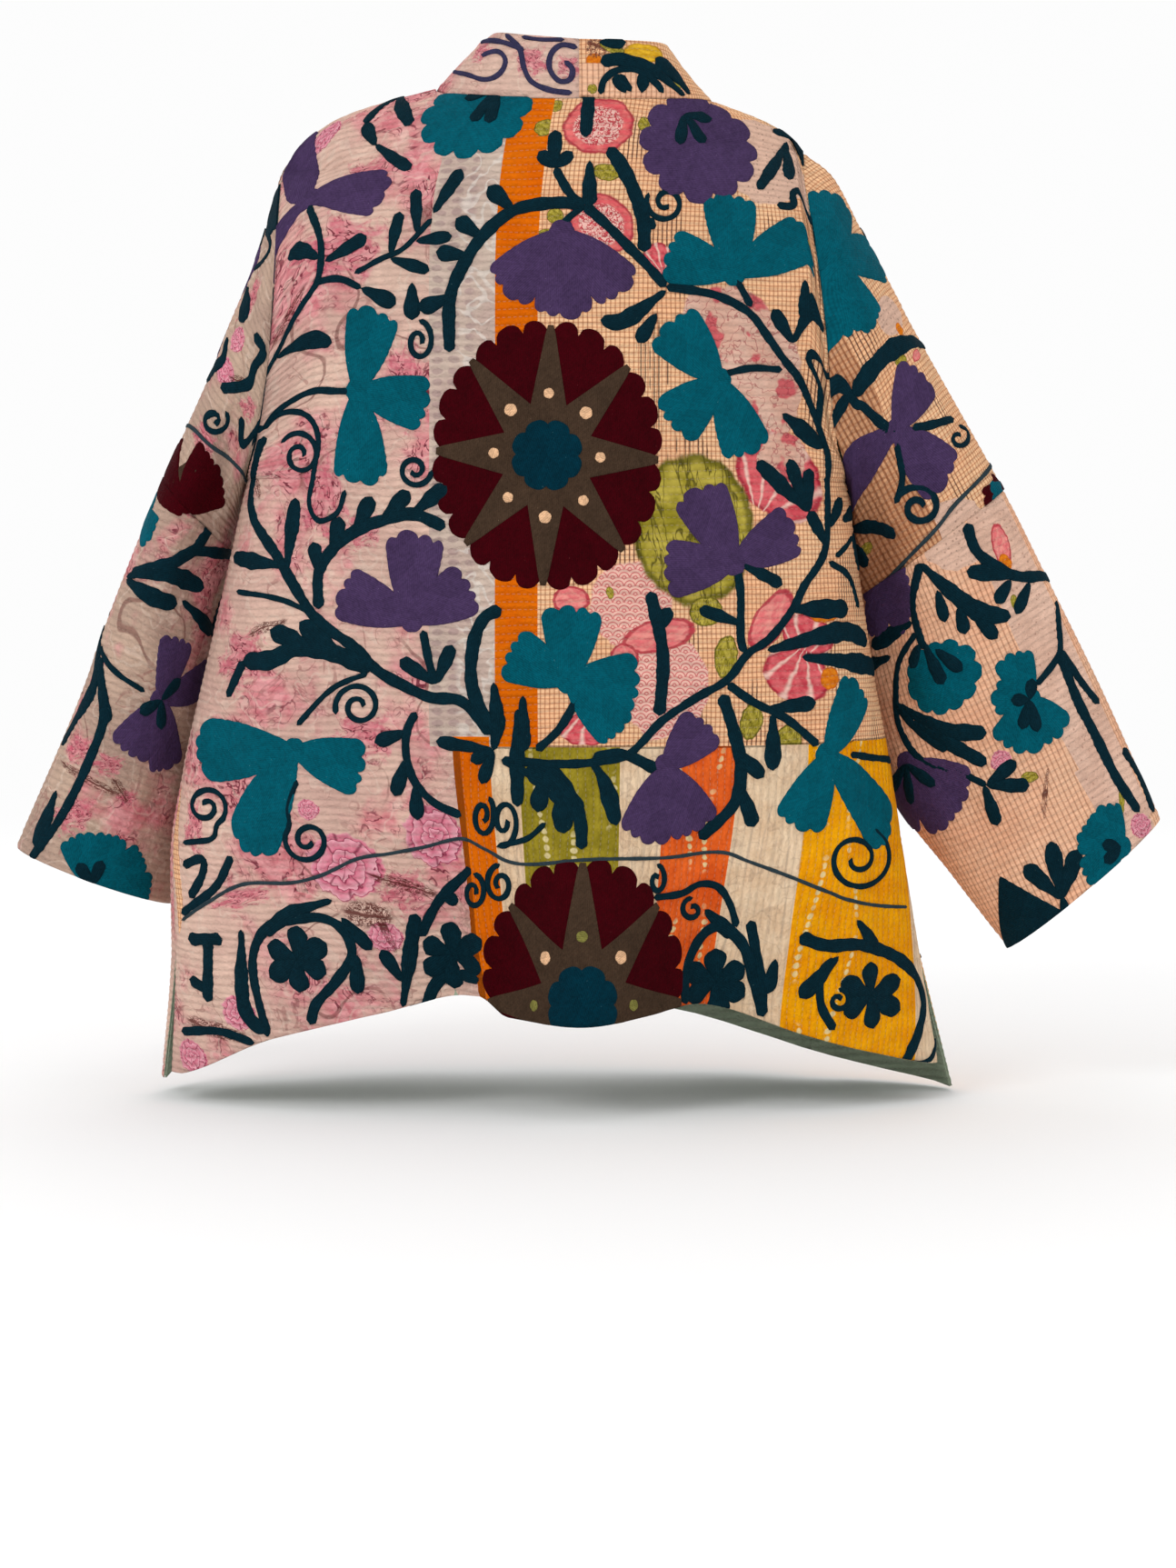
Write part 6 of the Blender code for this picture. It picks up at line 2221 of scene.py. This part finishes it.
def embroider_band_left(e):
    for width, *spots in (
        (4, -42, 46, -32, 36, -28, 20, -22, 10, -8, 4, 8, 2),
        (4, -84, 24, -72, 16, -58, 12, -47, 16, -42, 26, -48, 33, -60, 30),
        (4, 12, 36, 0, 38, -8, 31, -9, 20, -2, 11, 6, 12, 8, 20, 2, 26),
        (4, -60, 40, -44, 40, -28, 34),
        (3, -30, 44, -16, 42, 2, 42),
    ):
        e.stroke("plum", width, spots)
    e = e.in_front()
    for k, z in enumerate(range(-120, -680, -80)):
        sign = -1 if k % 2 else 1
        e.stroke("plum", 4, (-44 + 6 * sign, z + 40, -38 - 12 * sign, z + 10, -38 + 8 * sign, z - 20))
        e.spiral("plum", 4, -38, z, 11, 16, 90, 1.4 * sign)


def embroider_band_right(e):
    e.leaves(
        (9, 92, 0, 70, 18, 45, 27, 29, 25), (10, 96, 1, 86, 14, 70, 28), (9, 60, 2, 62, 18),
        (8, 48, 2, 40, 16), (8, 28, 40, 48, 40),
    )
    e.vines((5, 29, 1, 32, 12, 42, 19, 56, 19, 70, 10, 76, 2), (5, 44, 16, 52, 3))
    e = e.in_front()
    for k, z in enumerate(range(-120, -680, -70)):
        sign = -1 if k % 2 else 1
        e.stroke("vine", 4, (38 - 8 * sign, z + 30, 38 + 8 * sign, z, 38 - 8 * sign, z - 30))
        e.stroke("vine", 8, (38, z + 12, 38 + 14 * sign, z + 26), "leaf")
        e.stroke("vine", 8, (38, z - 10, 38 - 14 * sign, z), "leaf")


def embroider_front_left(e):
    e.flowers(
        ("teal", -120, -120, ((-96, -70, 44), (-168, -112, 42), (-116, -172, 44))),
        ("purple", -180, -215, ((-160, -168, 42), (-216, -236, 40), (-166, -268, 44))),
        ("teal", -110, -310, ((-88, -262, 44), (-158, -320, 42), (-96, -360, 44))),
        ("purple", -190, -420, ((-168, -372, 44), (-236, -436, 42), (-172, -470, 44))),
        ("teal", -110, -500, ((-86, -452, 44), (-156, -512, 42), (-92, -552, 44))),
        ("purple", -212, -560, ((-190, -520, 40), (-256, -570, 42), (-206, -606, 40))),
    )
    e.vines(
        (7, -78, -60, -96, -90, -120, -120, -150, -165, -180, -215, -160, -262, -110, -310, -120, -360,
         -160, -392, -190, -420, -170, -470, -110, -500, -140, -540, -212, -560),
        (5, -150, -165, -190, -150, -205, -120),
        (5, -160, -262, -200, -290, -225, -330),
        (5, -170, -470, -215, -490, -245, -520),
        (5, -120, -360, -86, -380, -78, -410),
    )
    e.leaves(
        (11, -205, -120, -196, -92), (11, -190, -150, -214, -162), (11, -225, -330, -236, -362),
        (11, -200, -290, -222, -282), (11, -78, -410, -96, -436), (11, -86, -380, -66, -366),
        (11, -245, -520, -262, -498), (11, -136, -142, -160, -140), (11, -145, -285, -146, -252),
        (11, -140, -378, -120, -402), (11, -145, -488, -150, -460), (11, -165, -548, -172, -520),
    )
    e.stroke("line", 3, (-64, -585, -120, -592, -180, -612, -240, -628, -296, -640))
    e.arched_daisy(1, -100, -655)
    e.arched_daisy(1, -210, -682)
    e.spiral("vine", 4, -155, -660, 12, 14, 90, 1.4)


def embroider_front_right(e):
    e.flowers(
        ("purple", 130, -110, ((106, -62, 44), (172, -100, 42), (134, -160, 44))),
        ("teal", 165, -230, ((140, -186, 42), (204, -246, 40), (150, -280, 44))),
        ("purple", 105, -330, ((84, -284, 42), (150, -340, 42), (96, -380, 42))),
        ("teal", 180, -440, ((156, -396, 44), (222, -456, 42), (160, -490, 44))),
        ("purple", 100, -530, ((80, -486, 42), (146, -540, 42), (92, -578, 40))),
        ("teal", 205, -575, ((184, -534, 42), (244, -590, 40), (196, -620, 40))),
    )
    e.vines(
        (7, 100, -50, 110, -80, 130, -110, 160, -170, 165, -230, 140, -290, 105, -330, 120, -385, 160,
         -415, 180, -440, 160, -490, 100, -530, 150, -560, 205, -575),
        (5, 160, -170, 186, -150, 190, -120),
        (5, 140, -290, 186, -310, 210, -350),
        (5, 160, -490, 205, -505, 236, -530),
        (5, 120, -385, 84, -400, 76, -430),
    )
    e.leaves(
        (11, 190, -120, 180, -92), (11, 186, -150, 200, -166), (11, 210, -350, 222, -382),
        (11, 186, -310, 206, -300), (11, 76, -430, 90, -456), (11, 84, -400, 66, -386),
        (11, 236, -530, 250, -508), (11, 148, -140, 168, -134), (11, 132, -302, 134, -268),
        (11, 140, -400, 124, -428), (11, 130, -512, 134, -484), (11, 160, -562, 166, -534),
    )
    e.stroke("line", 3, (64, -600, 120, -606, 180, -628, 240, -642, 290, -655))
    e.arched_daisy(-1, 112, -660)
    e.arched_daisy(-1, 215, -690)
    e.spiral("vine", 4, 163, -668, 12, 14, 90, -1.4)


# What is sewn on each panel
EMBROIDERERS = {
    "back": embroider_back,
    "front_left": embroider_front_left,
    "front_right": embroider_front_right,
    "sleeve_upper_left": embroider_sleeve_upper_left,
    "sleeve_lower_left": embroider_sleeve_lower_left,
    "sleeve_upper_right": embroider_sleeve_upper_right,
    "sleeve_lower_right": embroider_sleeve_lower_right,
    "band_left": embroider_band_left,
    "band_right": embroider_band_right,
}


def embroider(panel):
    e = Embroidery(panel, "front" if panel.kind == "front" else "back", {})
    EMBROIDERERS[panel.name](e)
    return e.finish()


def make_studio():
    """Floor, soft light and the camera at the photograph's angle."""
    scene = bpy.context.scene
    scene.view_settings.view_transform = "Standard"
    world = bpy.data.worlds.new("studio")
    scene.world = world
    world.use_nodes = True
    background = world.node_tree.nodes["Background"]
    background.inputs["Color"].default_value = WHITE
    background.inputs["Strength"].default_value = BRIGHTNESS

    spot = (0, 0, FLOOR_Z)
    bpy.ops.mesh.primitive_circle_add(vertices=96, radius=FLOOR_RADIUS, fill_type="NGON", location=spot)
    floor = bpy.context.object
    floor.name = "studio_floor"
    g = Graph("studio_floor")
    g.shader.inputs["Base Color"].default_value = FLOOR_COLOUR
    g.shader.inputs["Roughness"].default_value = 0.9
    far = g.length(g.node("TexCoord", out=3)).above(*FLOOR_END)
    glow = g.node("Emission", {"Color": WHITE, "Strength": BRIGHTNESS})
    surface = Field(g, g.shader.outputs[0])
    mixed = g.node("MixShader", {0: far, 1: surface, 2: glow})
    g.feed(g.tree.nodes["Material Output"].inputs[0], mixed)
    floor.data.materials.append(g.material)

    for name, place, size, energy in LAMPS:
        light = bpy.data.lights.new(name, "AREA")
        light.shape = "SQUARE"
        light.size = size
        light.energy = energy
        lamp = bpy.data.objects.new(name, light)
        lamp.location = place
        aim = np.array(LAMP_AIM) - np.array(place)
        lamp.rotation_mode = "QUATERNION"
        lamp.rotation_quaternion = Vector(aim).to_track_quat("-Z", "Y")
        scene.collection.objects.link(lamp)

    camera = bpy.data.objects.new("camera", bpy.data.cameras.new("camera"))
    camera.location = EYE
    camera.rotation_euler = (np.pi / 2, 0, 0)
    distance = BACK_PLANE_Y - EYE[1]
    camera.data.sensor_width = SENSOR
    camera.data.lens = SENSOR * distance / FRAME_HEIGHT
    camera.data.shift_y = (FRAME_MIDDLE_Z - EYE[2]) / FRAME_HEIGHT
    scene.collection.objects.link(camera)
    scene.camera = camera


groups = make_groups()
cloth_material("cotton_sage", groups, "cotton_sage")
panels = make_panels()
for name, panel in panels.items():
    crease(panel)
    dress_panel(panel, groups)
for side in TOWARDS:
    dress_lining(panels[f"front_{side}"])
for name, (colour, fleck) in THREADS.items():
    dress_thread(name, colour, fleck)
stitched = {name: embroider(panel) for name, panel in panels.items()}

make_studio()
